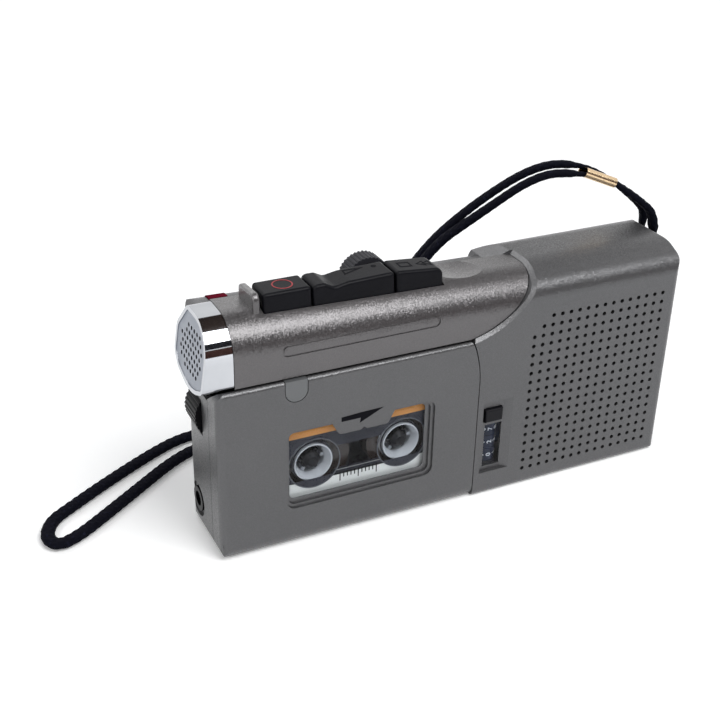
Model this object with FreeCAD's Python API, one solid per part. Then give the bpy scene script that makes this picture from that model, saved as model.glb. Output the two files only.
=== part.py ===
# Pocket voice recorder for microcassettes, standing on its long edge.
# Millimetres. X runs along the body from the microphone end to the speaker end,
# Y from the front face to the back, Z up to the push buttons.
# The origin is the middle of the long edge that it stands on.

import FreeCAD, Part
import math
import os

Vector = FreeCAD.Vector

# Body
case_length = 118.4
case_depth = 24.6
speaker_top = 56.4
barrel_top = 57.6
wall = 1.5
seam_y = 2.6
top_slope = 1.5
cover_step = 1.5
panel_gap = 0.2
lower_left_radius = 3.0
lower_right_radius = 2.5
upper_corner_radius = 1.0
upper_left_radius = 3.6
front_edge_radius = 1.8
front_lower_radius = 1.6
rear_left_radius = 7.5
rear_right_radius = 3.0
rear_top_radius = 6.5
rear_lower_radius = 2.5
shoulder_depth = 7.3
shoulder_drop = 3.5
shoulder_radius = 5.0
crown_radius = 14.0
inner_radius = 0.4

left = -case_length / 2
right = case_length / 2
front = -case_depth / 2
rear = case_depth / 2

# Barrel: the rounded upper left of the body, with the microphone in its end
barrel_inset = 1.0
barrel_front = front + barrel_inset
barrel_radius = 8.3
barrel_lip = 1.6
cap_length = 7.6
cap_seam = left + 4.5
cap_face = cap_seam - cap_length
cap_tilt = 8.1
cap_wall = 0.9
cap_bottom = 40.5
cap_rear = 7.4
cap_shoulder = 2.2
cap_gap = 0.15
barrel_end_thickness = 1.0
grille_recess = 0.25
grille_thickness = 0.5
mic_hole_radius = 0.48
mic_hole_pitch = 1.75
mic_radius = 4.8
mic_length = 5.4
mic_y = barrel_front + 8.7
mic_z = 49.0

# Step between barrel and speaker section, an arc on the front face
step_start = (left + 61.4, 42.9)
step_middle = (left + 73.1, 48.8)
step_end = (left + 79.8, 58.6)
step_bevel = 0.75
step_gap = 0.25
ramp_start = left + 73.0
ramp_end = left + 78.5

# Cassette lid, hinged at the lower front edge
lid_right = left + 63.6
lid_top = 42.6
lid_skin = 1.4
lid_corner_radius = 2.5
lid_edge_radius = 0.9
lid_slope = 3.6
seam_knee = 32.0
hinge_radius = 3.0
hinge_gap = 0.25
hinge_pin_radius = 0.6
roll_end = 0.3
ear_arm_low = 0.2
ear_arm_high = 1.0
pin_clearance = 0.05
ear_thickness = 1.4
ear_inset = 0.4
flange_depth = 1.3
flange_height = 1.2
hinge_y = front + hinge_radius
hinge_z = hinge_radius

# Lid window and its frame
frame_left = left + 15.6
frame_right = left + 52.2
frame_low = 9.8
frame_high = 29.9
frame_radius = 2.2
frame_step = 0.45
frame_drop = 0.5
pane_left = left + 16.5
pane_right = left + 50.1
pane_low = 12.0
pane_high = 29.0
pane_radius = 1.2
pane_front = front + 0.55
pane_lip = 0.9
tongue_top_left = left + 25.8
tongue_top_right = left + 42.4
tongue_low_left = left + 28.2
tongue_low_right = left + 40.2
tongue_low = 26.6
tongue_notch = 0.7
fit_gap = 0.1

# Finger tab in the lid's top edge
tab_middle = left + 18.0
tab_width = 5.1
tab_low = 37.4
tab_gap = 0.15
tab_back = 0.6
tab_back_margin = 1.2
tab_hook = 1.2

# Speaker grille
grille_columns = 16
grille_rows = 18
grille_pitch = 2.4
grille_left = right - 40.7
grille_low = 4.6
grille_hole_radius = 0.52

# Cassette
cassette_middle = left + 34.0
cassette_length = 50.0
cassette_height = 33.0
cassette_thickness = 8.0
cassette_low = 3.8
cassette_front = front + 2.1
cassette_wall = 0.8
cassette_radius = 1.5
reel_spacing = 22.0
reel_height = 15.4
hub_radius = 5.1
hub_bore = 3.5
hub_tooth = 0.8
hub_tooth_width = 0.9
hub_teeth = 3
hub_clearance = 0.3
hub_end_gap = 0.25
supply_pack_radius = 9.6
takeup_pack_radius = 8.0
pack_width = 3.8
window_band = 6.6
label_thickness = 0.15
label_margin = 1.6
label_top = 29.4
tape_opening_width = 40.0
tape_opening_depth = 4.2

reel_z = cassette_low + reel_height
supply_x = cassette_middle - reel_spacing / 2
takeup_x = cassette_middle + reel_spacing / 2
cassette_rear = cassette_front + cassette_thickness
cassette_top = cassette_low + cassette_height

# Tape deck plate and what turns on it
deck_thickness = 1.0
deck_gap = 0.3
deck_front = cassette_rear + deck_gap
deck_rear = deck_front + deck_thickness
deck_left = left + 7.6
deck_right = lid_right - 0.8
deck_low = 1.8
deck_top = 43.9
deck_slope_low = 36.5
deck_slope_high = 42.9
running_gap = 0.05
gear_module = 0.6
reel_teeth = 24
idler_teeth = 10
brake_drum_radius = 6.6
gear_width = 1.8
gear_gap = 0.4
spindle_radius = 2.1
spindle_fin = 0.7
spindle_fin_width = 0.8
spindle_tip = -cassette_front - 0.6
spindle_shaft_radius = 1.2
spindle_tail = 1.5
capstan_x = cassette_middle + 16.2
capstan_z = 33.4
capstan_radius = 0.75
capstan_tip = -cassette_front - 1.4
bearing_radius = 1.8
belt_thickness = 0.9
belt_y = deck_rear + 7.2
belt_width = 1.4
flywheel_radius = 11.0
flywheel_width = 2.4
idler_pulley_radius = 6.0
idler_pin_radius = 0.7
motor_x = cassette_middle - 13.3
motor_z = 35.4
motor_radius = 8.0
motor_depth = 5.9
motor_shaft_radius = 0.75
motor_pulley_radius = 3.0
pulley_flange = 0.8

# Head sled, which the play button pushes down into the cassette
button_travel = 2.0
sled_thickness = 1.3
sled_left = cassette_middle - 13.8
sled_right = cassette_middle + 21.2
sled_rest_gap = 0.35
sled_top = 45.0
sled_tab_left = cassette_middle - 2.3
sled_tab_right = cassette_middle + 4.7
sled_tab_thickness = 0.9
sled_tab_rear = barrel_front + 10.3
guide_pin_radius = 0.8
guide_pin_inset = 4.0
head_width = 8.0
head_height = 5.0
head_depth = 5.2
head_radius = 3.6
erase_width = 3.2
erase_offset = 8.2
pinch_radius = 3.2
pinch_bore = 0.8
pinch_width = 4.4
tape_squeeze = 0.1

# Push buttons
button_proud = 3.0
button_skirt = 5.4
button_front = barrel_front + 4.9
button_rear = barrel_front + 12.5
button_top = barrel_top + button_proud
button_low = barrel_top - button_skirt
button_gap = 0.2
button_wall = 1.1
button_edge = 0.8
button_lean = 0.5
button_lip = 0.6
button_lip_height = 0.8
record_left = left + 13.2
record_right = left + 24.2
play_left = left + 24.5
play_right = left + 43.9
stop_left = left + 44.3
stop_right = left + 55.9
play_bump_width = 2.9
play_dip = 1.1
stop_fall = 1.2
stem_radius = 1.2
stem_y = (button_front + button_lean + button_rear) / 2
bridge_low = 46.6
bridge_thickness = 1.0
bridge_left = left + 7.7
bridge_right = left + 61.6
bridge_front = barrel_front + 4.9
bridge_rear = barrel_front + 15.3
bridge_post_radius = 1.7
coil_radius = 1.95
coil_wire = 0.4
coil_turns = 6
guard_left = left + 10.8
guard_thickness = 1.7
guard_top = barrel_top + 3.4
guard_fall = 0.8
guard_round = 0.5
scoop_middle = lid_right - 0.8
scoop_length = 11.0
scoop_depth = 0.55
scoop_y = barrel_front + 8.9
label_groove_left = left + 15.2
label_groove_right = left + 53.0
label_groove_low = 48.0
label_groove_high = 50.7
label_groove_depth = 0.25
label_groove_width = 0.45

# Thumbwheels
volume_x = left + 41.9
volume_z = 55.0
volume_radius = 5.55
volume_front = rear - 9.1
volume_width = 4.2
speed_radius = 6.2
speed_proud = 1.5
speed_z = 32.0
speed_front = seam_y - 4.4
speed_width = 7.0
wheel_ribs = 36
wheel_rib_depth = 0.35
wheel_gap = 0.35
wheel_shaft_radius = 1.5
control_radius = 4.5
control_foot = 1.8
cheek_thickness = 0.6
cheek_width = 4.4
inside_gap = 0.2
speed_x = left + speed_radius - speed_proud

# Recording lamp
lamp_left = left + 5.2
lamp_right = left + 9.5
lamp_front = rear - 6.7
lamp_rear = rear - 4.2
lamp_depth = 3.4
lamp_stem = 4.4
lamp_proud = 0.25

# Earphone socket in the microphone end
jack_y = rear - 8.9
jack_z = 7.6
jack_bore = 1.8
jack_radius = 3.0
jack_groove_radius = 4.2
jack_groove_depth = 0.8
jack_length = 12.0
jack_body = 6.6

# Speaker
speaker_x = right - 22.7
speaker_z = 25.0
speaker_radius = 18.0
speaker_rim = 2.2
speaker_depth = 4.0
basket_wall = 0.6
magnet_radius = 8.0
vent_ring = 12.0
cone_thickness = 0.4
dust_cap_radius = 5.0

# Batteries, two in line with the body
cell_radius = 7.25
nub_radius = 2.75
nub_length = 1.0
cell_y = rear - 9.3
cell_low_z = 12.0
cell_gap = 0.7
cell_end_gap = 0.35
magnet_gap = 0.65
contact_thickness = 0.3
contact_gap = 0.05
contact_height = 9.0
cell_left = lid_right + panel_gap + wall + contact_gap + contact_thickness
cell_right = right - wall - cell_end_gap - contact_thickness - nub_length
cell_length = cell_right - cell_left
magnet_depth = cell_y - cell_radius - magnet_gap - front - wall - speaker_depth
battery_lid_left = lid_right + 1.6
battery_lid_low = 4.2
battery_lid_high = 35.0
battery_lid_depth = 3.0
battery_hook_length = 40.0
battery_hook_width = 0.9
battery_hook_thickness = 0.8
grip_ridges = 6
grip_pitch = 1.6
grip_depth = 0.35
grip_length = 14.0

# Circuit board
board_front = rear - 3.0
board_thickness = 1.0
board_left = left + 8.2
board_low = 3.2
board_drop = 5.5
board_right = right - 7.2
board_step_x = lid_right - 0.8
board_step_z = 38.0

# Tape counter
counter_left = lid_right + 1.7
counter_right = lid_right + 9.8
counter_slope = 2.0
counter_low = 6.2
counter_high = 25.7
counter_recess = 1.0
counter_x = lid_right + 5.3
counter_axis_depth = 4.8
drum_radius = 2.8
drum_height = 3.4
drum_gap = 0.2
drum_bore = 0.66
drum_low = 8.0
counter_axle_radius = 0.6
counter_plate = 0.9
counter_window_left = lid_right + 3.0
counter_window_right = lid_right + 7.6
counter_window_low = 7.4
counter_window_high = 19.0
counter_pane_lip = 0.7
counter_pane_back = 0.4
reset_left = lid_right + 2.6
reset_right = lid_right + 7.3
reset_low = 20.0
reset_high = 23.4
reset_proud = 0.9
reset_length = 3.4
reset_lip = 0.5

# Screws
screw_radius = 1.0
screw_head_radius = 1.9
screw_head_height = 1.0
screw_boss_radius = 2.6
screw_thread = 3.2
screw_clearance = 0.1
corner_screws = [(left + 5.6, 17.4), (lid_right - 3.2, 5.4), (right - 5.2, 40.4), (lid_right + 19.1, 48.8)]
deck_screws = [(left + 10.6, 42.2), (lid_right - 4.0, 40.8), (cassette_middle, 3.1)]
deck_screw_radius = 0.7
deck_screw_head = 1.3
deck_screw_length = 2.2
deck_lug_thickness = 1.6

# Wrist strap
eye_y = 6.5
eye_z = 48.7
eye_post_radius = 1.2
eye_post_inset = 1.4
eye_wall = 1.0
eye_clearance = 0.25
cord_diameter = 2.2
cord_clearance = 0.15
ferrule_length = 8.6
ferrule_wall = 0.3
ferrule_squeeze = 0.15


def box(x0, x1, y0, y1, z0, z1):
    return Part.makeBox(x1 - x0, y1 - y0, z1 - z0, Vector(x0, y0, z0))


def lift(axis, u, v, level):
    """Point at a level along an axis, from its two other coordinates in X, Y, Z order."""
    if axis == "x":
        return Vector(level, u, v)
    if axis == "y":
        return Vector(u, level, v)
    return Vector(u, v, level)


def rod(axis, u, v, radius, start, end):
    direction = lift(axis, 0, 0, 1)
    return Part.makeCylinder(radius, end - start, lift(axis, u, v, start), direction)


def tube(axis, u, v, outer, inner, start, end):
    return rod(axis, u, v, outer, start, end).cut(rod(axis, u, v, inner, start - 1, end + 1))


def corner_arc(before, corner, after, radius):
    """Start, middle and end of the arc that rounds a corner between two straight runs."""
    to_before = (before - corner).normalize()
    to_after = (after - corner).normalize()
    half = to_before.getAngle(to_after) / 2
    reach = radius / math.tan(half)
    bisector = (to_before + to_after).normalize()
    centre = corner + bisector * (radius / math.sin(half))
    return corner + to_before * reach, centre - bisector * radius, corner + to_after * reach


def outline(axis, corners, level):
    """Closed wire through corners (u, v) or (u, v, radius)."""
    points = [lift(axis, corner[0], corner[1], level) for corner in corners]
    radii = [corner[2] if len(corner) > 2 else 0 for corner in corners]
    count = len(points)
    edges = []
    entries = []
    exits = []
    middles = []
    for index, point in enumerate(points):
        if radii[index] > 0:
            before = points[index - 1]
            after = points[(index + 1) % count]
            entry, middle, leave = corner_arc(before, point, after, radii[index])
        else:
            entry, middle, leave = point, None, point
        entries.append(entry)
        middles.append(middle)
        exits.append(leave)
    for index in range(count):
        if middles[index] is not None:
            edges.append(Part.Arc(entries[index], middles[index], exits[index]).toShape())
        following = entries[(index + 1) % count]
        if exits[index].distanceToPoint(following) > 1e-6:
            edges.append(Part.LineSegment(exits[index], following).toShape())
    return Part.Wire(edges)


def prism(axis, corners, start, end):
    face = Part.Face(outline(axis, corners, start))
    return face.extrude(lift(axis, 0, 0, end - start))


def rectangle(u0, u1, v0, v1, radius=0.0):
    return [(u0, v0, radius), (u1, v0, radius), (u1, v1, radius), (u0, v1, radius)]


def fuse_all(solids):
    return solids[0].multiFuse(solids[1:]).removeSplitter() if len(solids) > 1 else solids[0]


def inset_radius(radius, inset):
    return max(radius - inset, inner_radius)


def speaker_section(inset):
    """End view of the speaker section, drawn in by a wall."""
    low_front = (front + inset, inset, inset_radius(front_lower_radius, inset))
    low_rear = (rear - inset, inset, inset_radius(rear_lower_radius, inset))
    top_rear = (rear - inset, speaker_top - inset, inset_radius(rear_top_radius, inset))
    crown = (front + shoulder_depth, speaker_top - inset, crown_radius)
    shoulder = (front + inset, speaker_top - shoulder_drop - inset,
                inset_radius(shoulder_radius, inset))
    return [low_front, low_rear, top_rear, crown, shoulder]


def barrel_section(inset):
    """End view of the barrel section below its crown, drawn in by a wall."""
    low_front = (barrel_front + inset, inset)
    low_rear = (rear - inset, inset, inset_radius(rear_lower_radius, inset))
    top_rear = (rear - inset, barrel_top + wall)
    top_front = (barrel_front + inset, barrel_top + wall)
    return [low_front, low_rear, top_rear, top_front]


def crown_section(inset, drop):
    """End view of the barrel's rounded top, drawn in by a wall and lowered."""
    top = barrel_top - drop - inset
    low_front = (barrel_front + inset, -wall)
    low_rear = (rear - inset, -wall)
    top_rear = (rear - inset, top, inset_radius(rear_top_radius, inset))
    top_front = (barrel_front + inset, top, inset_radius(barrel_radius, inset))
    return [low_front, low_rear, top_rear, top_front]


def top_at(x, depth):
    """Height of the plane that lies a depth under the sloping top of the barrel."""
    slope = math.radians(top_slope)
    return barrel_top - (x - cap_seam) * math.tan(slope) - depth / math.cos(slope)


def plan(inset):
    """Top view of the body."""
    return [
        (left + inset, front + inset, inset_radius(front_edge_radius, inset)),
        (right - inset, front + inset, inset_radius(front_edge_radius, inset)),
        (right - inset, rear - inset, inset_radius(rear_right_radius, inset)),
        (left + inset, rear - inset, inset_radius(rear_left_radius, inset)),
    ]


def elevation(inset, drop):
    """Front view of the body, with the ramp up to the speaker section."""
    return [
        (left + inset, inset, inset_radius(lower_left_radius, inset)),
        (right - inset, inset, inset_radius(lower_right_radius, inset)),
        (right - inset, speaker_top - inset, inset_radius(upper_corner_radius, inset)),
        (ramp_end, speaker_top - inset),
        (ramp_start, top_at(ramp_start, drop + inset)),
        (left + inset, top_at(left + inset, drop + inset), inset_radius(upper_left_radius, inset)),
    ]


def drawn_in(corners, inset):
    """Outline (u, v, radius) that runs clockwise, moved inwards with its radii."""
    moved = []
    count = len(corners)
    for index, corner in enumerate(corners):
        here = Vector(corner[0], corner[1], 0)
        before = corners[index - 1]
        after = corners[(index + 1) % count]
        entering = (here - Vector(before[0], before[1], 0)).normalize()
        leaving = (Vector(after[0], after[1], 0) - here).normalize()
        inwards = Vector(entering.y + leaving.y, -entering.x - leaving.x, 0)
        place = here + inwards * (inset / (1 + entering.dot(leaving)))
        moved.append((place.x, place.y, inset_radius(corner[2], inset)))
    return moved


def cap_section(inset):
    """End view of the microphone cap, which follows the barrel at the front and the top."""
    corners = [
        (barrel_front, lid_top + 0.4, 1.8),
        (barrel_front, barrel_top, barrel_radius),
        (cap_shoulder, barrel_top, 2.5),
        (cap_rear, barrel_top - 6.1, 3.5),
        (cap_rear, cap_bottom + 4.5, 2.6),
        (cap_rear - 3.0, cap_bottom + 1.9, 5.0),
        (cap_rear - 12.0, cap_bottom - 0.5, 14.0),
    ]
    return drawn_in(corners, inset)


def step_region(shift, level_start, level_end):
    """Everything right of the step arc, as a prism along Y."""
    start = Vector(step_start[0] + shift, level_start, step_start[1])
    middle = Vector(step_middle[0] + shift, level_start, step_middle[1])
    end = Vector(step_end[0] + shift, level_start, step_end[1])
    far_top = Vector(right + wall, level_start, step_end[1])
    far_low = Vector(right + wall, level_start, -wall)
    near_low = Vector(lid_right + panel_gap + shift, level_start, -wall)
    near_top = Vector(lid_right + panel_gap + shift, level_start, seam_knee)
    edges = [
        Part.Arc(start, middle, end).toShape(),
        Part.LineSegment(end, far_top).toShape(),
        Part.LineSegment(far_top, far_low).toShape(),
        Part.LineSegment(far_low, near_low).toShape(),
        Part.LineSegment(near_low, near_top).toShape(),
        seam_curve(near_top, start),
    ]
    face = Part.Face(Part.Wire(edges))
    return face.extrude(Vector(0, level_end - level_start, 0))


def seam_curve(low, high):
    """Upper right edge of the lid: leaves the straight seam upright and leans left."""
    middle = Vector(low.x - 0.28 * (low.x - high.x), low.y, (low.z + high.z) / 2)
    return Part.Arc(low, middle, high).toShape()


def trimmed(block, inset, drop):
    """A block along X cut to the top view and the front view of the body."""
    tall = max(speaker_top, barrel_top) + 2 * wall
    block = block.common(prism("z", plan(inset), -wall, tall))
    return block.common(prism("y", elevation(inset, drop), front - wall, rear + wall))


def speaker_block(inset):
    """The body with the speaker section's end view, drawn in by a wall."""
    block = prism("x", speaker_section(inset), left + inset, right - inset)
    return trimmed(block, inset, cover_step)


def barrel_block(inset, drop):
    """The body with the barrel's end view, drawn in by a wall, its crown sloping to the right."""
    block = prism("x", barrel_section(inset), left + inset, right - inset)
    crown = prism("x", crown_section(inset, drop), left - wall, right + wall)
    crown.rotate(Vector(cap_seam, 0, barrel_top), Vector(0, 1, 0), top_slope)
    return trimmed(block.common(crown), inset, drop)


def shell_space(inset):
    """Room inside the rear cabinet's left part, drawn in by a wall."""
    return barrel_block(inset, cover_step)


def screw_boss(x, z, start, end):
    return rod("y", x, z, screw_boss_radius, start, end)


def cell_centres():
    high_z = cell_low_z + 2 * cell_radius + cell_gap
    return [cell_low_z, high_z]


def make_front_cabinet():
    region = step_region(0, front - wall, rear + wall)
    raised = speaker_block(0).common(region)
    raised = raised.common(box(left, right, front - 1, seam_y, -1, speaker_top + 1))
    rim = [edge for edge in raised.Edges if is_step_edge(edge)]
    raised = raised.makeChamfer(step_bevel, rim)
    hollow = speaker_block(wall).common(step_region(wall, front - wall, rear))
    shell = raised.cut(hollow)

    bay = barrel_block(0, 0).cut(barrel_block(wall, 0))
    bay_front = hinge_y + hinge_radius + hinge_gap - 0.1
    bay_high = cassette_top + 1.7
    bay_side = bay.common(box(left - 1, left + rear_left_radius, bay_front, seam_y, -1, bay_high))
    bay_floor = bay.common(box(left - 1, lid_right + wall, hinge_y, seam_y, -1, wall))
    frame = bay_side.fuse(bay_floor)
    frame = frame.cut(rod("x", hinge_y, hinge_z, hinge_radius + hinge_gap, left - 1,
                          lid_right + panel_gap))
    cap_room = prism("x", cap_section(-cap_gap), cap_face - 1, cap_seam + cap_gap)
    frame = frame.cut(cap_room)

    lugs = []
    side_x, side_z = corner_screws[0]
    floor_x, floor_z = corner_screws[1]
    reach = screw_boss_radius
    lugs.append(box(left + wall / 2, side_x + reach, deck_rear, seam_y, side_z - reach,
                    side_z + reach))
    lugs.append(box(floor_x - reach, floor_x + reach, deck_rear, seam_y, wall / 2,
                    floor_z + reach))
    for x, z in corner_screws[2:]:
        lugs.append(screw_boss(x, z, front + wall / 2, seam_y))
    lugs += deck_lugs()
    ears = []
    for start, end in hinge_ear_spans():
        ears.append(hinge_ear(start, end))
    cabinet = fuse_all([shell, frame] + lugs + ears)

    holes = []
    for column in range(grille_columns):
        for row in range(grille_rows):
            missing = max(0, row - (grille_rows - 3))
            if column >= missing:
                x = grille_left + column * grille_pitch
                z = grille_low + row * grille_pitch
                holes.append(rod("y", x, z, grille_hole_radius, front - 1, front + wall + 1))
    cabinet = cabinet.cut(Part.makeCompound(holes))

    recess = [
        (counter_left, front - 1),
        (counter_right, front - 1),
        (counter_right, front),
        (counter_right - counter_slope, front + counter_recess),
        (counter_left, front + counter_recess),
    ]
    cabinet = cabinet.cut(prism("z", recess, counter_low, counter_high))
    pane_room = box(counter_window_left, counter_window_right, front, front + wall + 1,
                    counter_window_low, counter_window_high)
    reset_room = box(reset_left - button_gap, reset_right + button_gap, front, front + wall + 1,
                     reset_low - button_gap, reset_high + button_gap)
    cabinet = cabinet.cut(pane_room).cut(reset_room)

    for x, z in corner_screws:
        cabinet = cabinet.cut(rod("y", x, z, screw_radius + running_gap,
                                  seam_y - screw_thread, seam_y + 1))
    for x, z in deck_screws:
        cabinet = cabinet.cut(rod("y", x, z, deck_screw_radius + running_gap,
                                  deck_rear - deck_screw_length - 0.2, deck_rear))
    cabinet = cabinet.cut(rod("x", jack_y, jack_z, jack_radius + fit_gap, left - 1,
                              left + wall + 1))
    cabinet = cabinet.cut(rod("x", jack_y, jack_z, jack_groove_radius, left - 1,
                              left + jack_groove_depth))
    cabinet = cabinet.cut(speed_wheel_room())
    pins = rod("x", hinge_y, hinge_z, hinge_pin_radius, left - 1, lid_right + 4)
    return cabinet.cut(pins)


def deck_lugs():
    """Lugs in front of the deck plate that its three screws bite into."""
    reach = deck_screw_head + 0.4
    front_y = deck_front - deck_lug_thickness
    wheel_top = speed_z + speed_radius + wheel_gap
    left_x, left_z = deck_screws[0]
    right_x, right_z = deck_screws[1]
    low_x, low_z = deck_screws[2]
    arm_low = cassette_top + 0.4
    arm = box(left + wall / 2, left_x + reach, front_y, speed_front - wheel_gap - 0.1, arm_low,
              cap_bottom - cap_gap - 0.2)
    plate = box(left_x - reach, left_x + reach, front_y, deck_front, wheel_top + 0.2,
                left_z + reach)
    arm_tip = box(left_x - reach, left_x + reach, front_y, speed_front - wheel_gap - 0.1, arm_low,
                  left_z)
    bracket = box(right_x - reach, lid_right - 0.6, front_y, deck_front, right_z - reach,
                  right_z + reach)
    foot = box(low_x - reach, low_x + reach, front_y, deck_front, wall / 2,
               cassette_low - 0.15)
    return [arm, arm_tip, plate, bracket, foot]


def is_step_edge(edge):
    """An edge on the arc of the step that lies on the outer skin of the raised section."""
    centre_z = edge.BoundBox.Center.z
    if centre_z < step_start[1] - 0.1 or edge.BoundBox.YMin > seam_y - 0.5:
        return False
    arc = Part.Arc(Vector(step_start[0], 0, step_start[1]),
                   Vector(step_middle[0], 0, step_middle[1]),
                   Vector(step_end[0], 0, step_end[1])).toShape()
    for vertex in edge.Vertexes:
        flat = Part.Vertex(vertex.X, 0, vertex.Z)
        if flat.distToShape(arc)[0] > 1e-3:
            return False
    return edge.BoundBox.YLength > 1e-3 or edge.BoundBox.YMin < front + 0.01


def hinge_ear_spans():
    """X spans of the cabinet's two hinge ears, beside the lid's ears."""
    left_start = left + lid_skin + ear_inset + panel_gap
    right_end = lid_right - ear_inset
    return [(left_start, left_start + ear_thickness),
            (right_end - ear_thickness, right_end)]


def hinge_ear(start, end):
    knuckle = rod("x", hinge_y, hinge_z, hinge_radius - lid_skin - hinge_gap, start, end)
    arm = box(start, end, hinge_y, deck_front, hinge_z - ear_arm_low, hinge_z + ear_arm_high)
    leg = box(start, end, deck_front - 2.0, seam_y, wall / 2, hinge_z + ear_arm_high)
    return fuse_all([knuckle, arm, leg])


def speed_wheel_room():
    reach = speed_radius + wheel_gap
    room = rod("y", speed_x, speed_z, reach, speed_front - wheel_gap,
               speed_front + speed_width + wheel_gap)
    return room


def make_rear_cabinet():
    right_part = box(ramp_start, right, front - 1, rear + 1, -1, speaker_top + 1)
    outer = barrel_block(0, cover_step).fuse(speaker_block(0).common(right_part))
    inner = barrel_block(wall, cover_step).fuse(speaker_block(wall).common(right_part))
    half = box(left - 1, right + 1, seam_y, rear + 1, -1, speaker_top + 1)
    shell = outer.cut(inner).common(half)

    parts = [shell]
    for x, z in corner_screws:
        parts.append(screw_boss(x, z, seam_y, rear - wall / 2))
    eye_block = box(eye_inner_x() - eye_wall, right, seam_y, rear, eye_low() - eye_wall,
                    eye_high() + eye_wall)
    parts.append(eye_block.common(outer))
    cradle_left = cell_left - 0.9
    for x in (cell_left + 8, cell_left + cell_length - 8):
        rib = box(x - 0.6, x + 0.6, seam_y, rear - wall - 0.3, battery_lid_high + 0.9,
                  battery_lid_high + 2.2)
        parts.append(rib)
    divider = box(cradle_left, right - wall / 2, seam_y, rear - battery_lid_depth,
                  battery_lid_high + 1.2, battery_lid_high + 2.2)
    parts.append(divider)
    cabinet = fuse_all(parts)

    cap_room = prism("x", cap_section(-cap_gap), cap_face - 1, cap_seam + cap_gap)
    cabinet = cabinet.cut(cap_room)
    cabinet = cabinet.cut(eye_room())
    cabinet = cabinet.fuse(eye_post())
    cabinet = cabinet.cut(battery_lid_room())
    volume_room_end = volume_front + volume_width + cheek_thickness + 2 * running_gap + 0.1
    cabinet = cabinet.cut(rod("y", volume_x, volume_z, volume_radius + wheel_gap,
                              volume_front - 0.2, volume_room_end))
    cabinet = cabinet.cut(speed_wheel_room())
    cabinet = cabinet.cut(box(lamp_left - fit_gap, lamp_right + fit_gap, lamp_front - fit_gap,
                              lamp_rear + fit_gap, lamp_low() - 1, barrel_top + 1))
    cabinet = cabinet.cut(rod("x", jack_y, jack_z, jack_groove_radius, left - 1,
                              left + jack_groove_depth))
    cabinet = cabinet.cut(rod("x", jack_y, jack_z, jack_radius + fit_gap, left - 1,
                              left + wall + 1))
    for x, z in corner_screws:
        cabinet = cabinet.cut(rod("y", x, z, screw_radius + screw_clearance, seam_y - 1, rear + 1))
        cabinet = cabinet.cut(rod("y", x, z, screw_head_radius + screw_clearance,
                                  rear - screw_head_height - 0.4, rear + 1))
    return cabinet


def eye_inner_x():
    reach = eye_post_radius + cord_clearance + cord_diameter + eye_clearance
    return right - eye_post_inset - reach


def eye_low():
    return eye_z - cord_diameter / 2 - eye_clearance


def eye_high():
    return eye_z + cord_diameter / 2 + eye_clearance


def eye_reach():
    return eye_post_radius + cord_clearance + cord_diameter + eye_clearance


def eye_room():
    return box(eye_inner_x(), right + 1, eye_y - eye_reach(), eye_y + eye_reach(), eye_low(),
               eye_high())


def eye_post():
    return rod("z", right - eye_post_inset, eye_y, eye_post_radius, eye_low() - eye_wall / 2,
               eye_high() + eye_wall / 2)


def battery_lid_room():
    lid_gap = 0.1
    return box(battery_lid_left - lid_gap, right + 1, rear - battery_lid_depth - lid_gap, rear + 1,
               battery_lid_low - lid_gap, battery_lid_high + lid_gap)


def button_room():
    return box(record_left - button_gap, stop_right + button_gap, button_front - button_gap,
               button_rear + button_gap, bridge_low + bridge_thickness, button_top)


def make_battery_lid():
    outer = speaker_block(0)
    inner = speaker_block(wall)
    panel = outer.cut(inner).common(box(battery_lid_left, right + 1, rear - battery_lid_depth,
                                        rear + 1, battery_lid_low, battery_lid_high))
    hook_start = battery_lid_left + 2
    hook_end = hook_start + battery_hook_length
    hook_top = rear - wall - 0.05
    hooks = []
    for edge_z, direction in ((battery_lid_low, -1), (battery_lid_high, 1)):
        reach = edge_z + direction * battery_hook_width
        inside = edge_z - direction * battery_hook_width
        hooks.append(box(hook_start, hook_end, hook_top - battery_hook_thickness, hook_top,
                         min(reach, inside), max(reach, inside)))
        rail = edge_z - direction * battery_hook_width
        hooks.append(box(hook_start, hook_end, hook_top - battery_hook_thickness,
                         rear - wall / 2, min(edge_z, rail), max(edge_z, rail)))
    lid = fuse_all([panel] + hooks)
    grooves = []
    middle_z = (battery_lid_low + battery_lid_high) / 2
    for ridge in range(grip_ridges):
        x = battery_lid_left + 5 + ridge * grip_pitch
        grooves.append(box(x, x + grip_pitch / 2, rear - grip_depth, rear + 1,
                           middle_z - grip_length / 2, middle_z + grip_length / 2))
    return lid.cut(Part.makeCompound(grooves))


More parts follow.
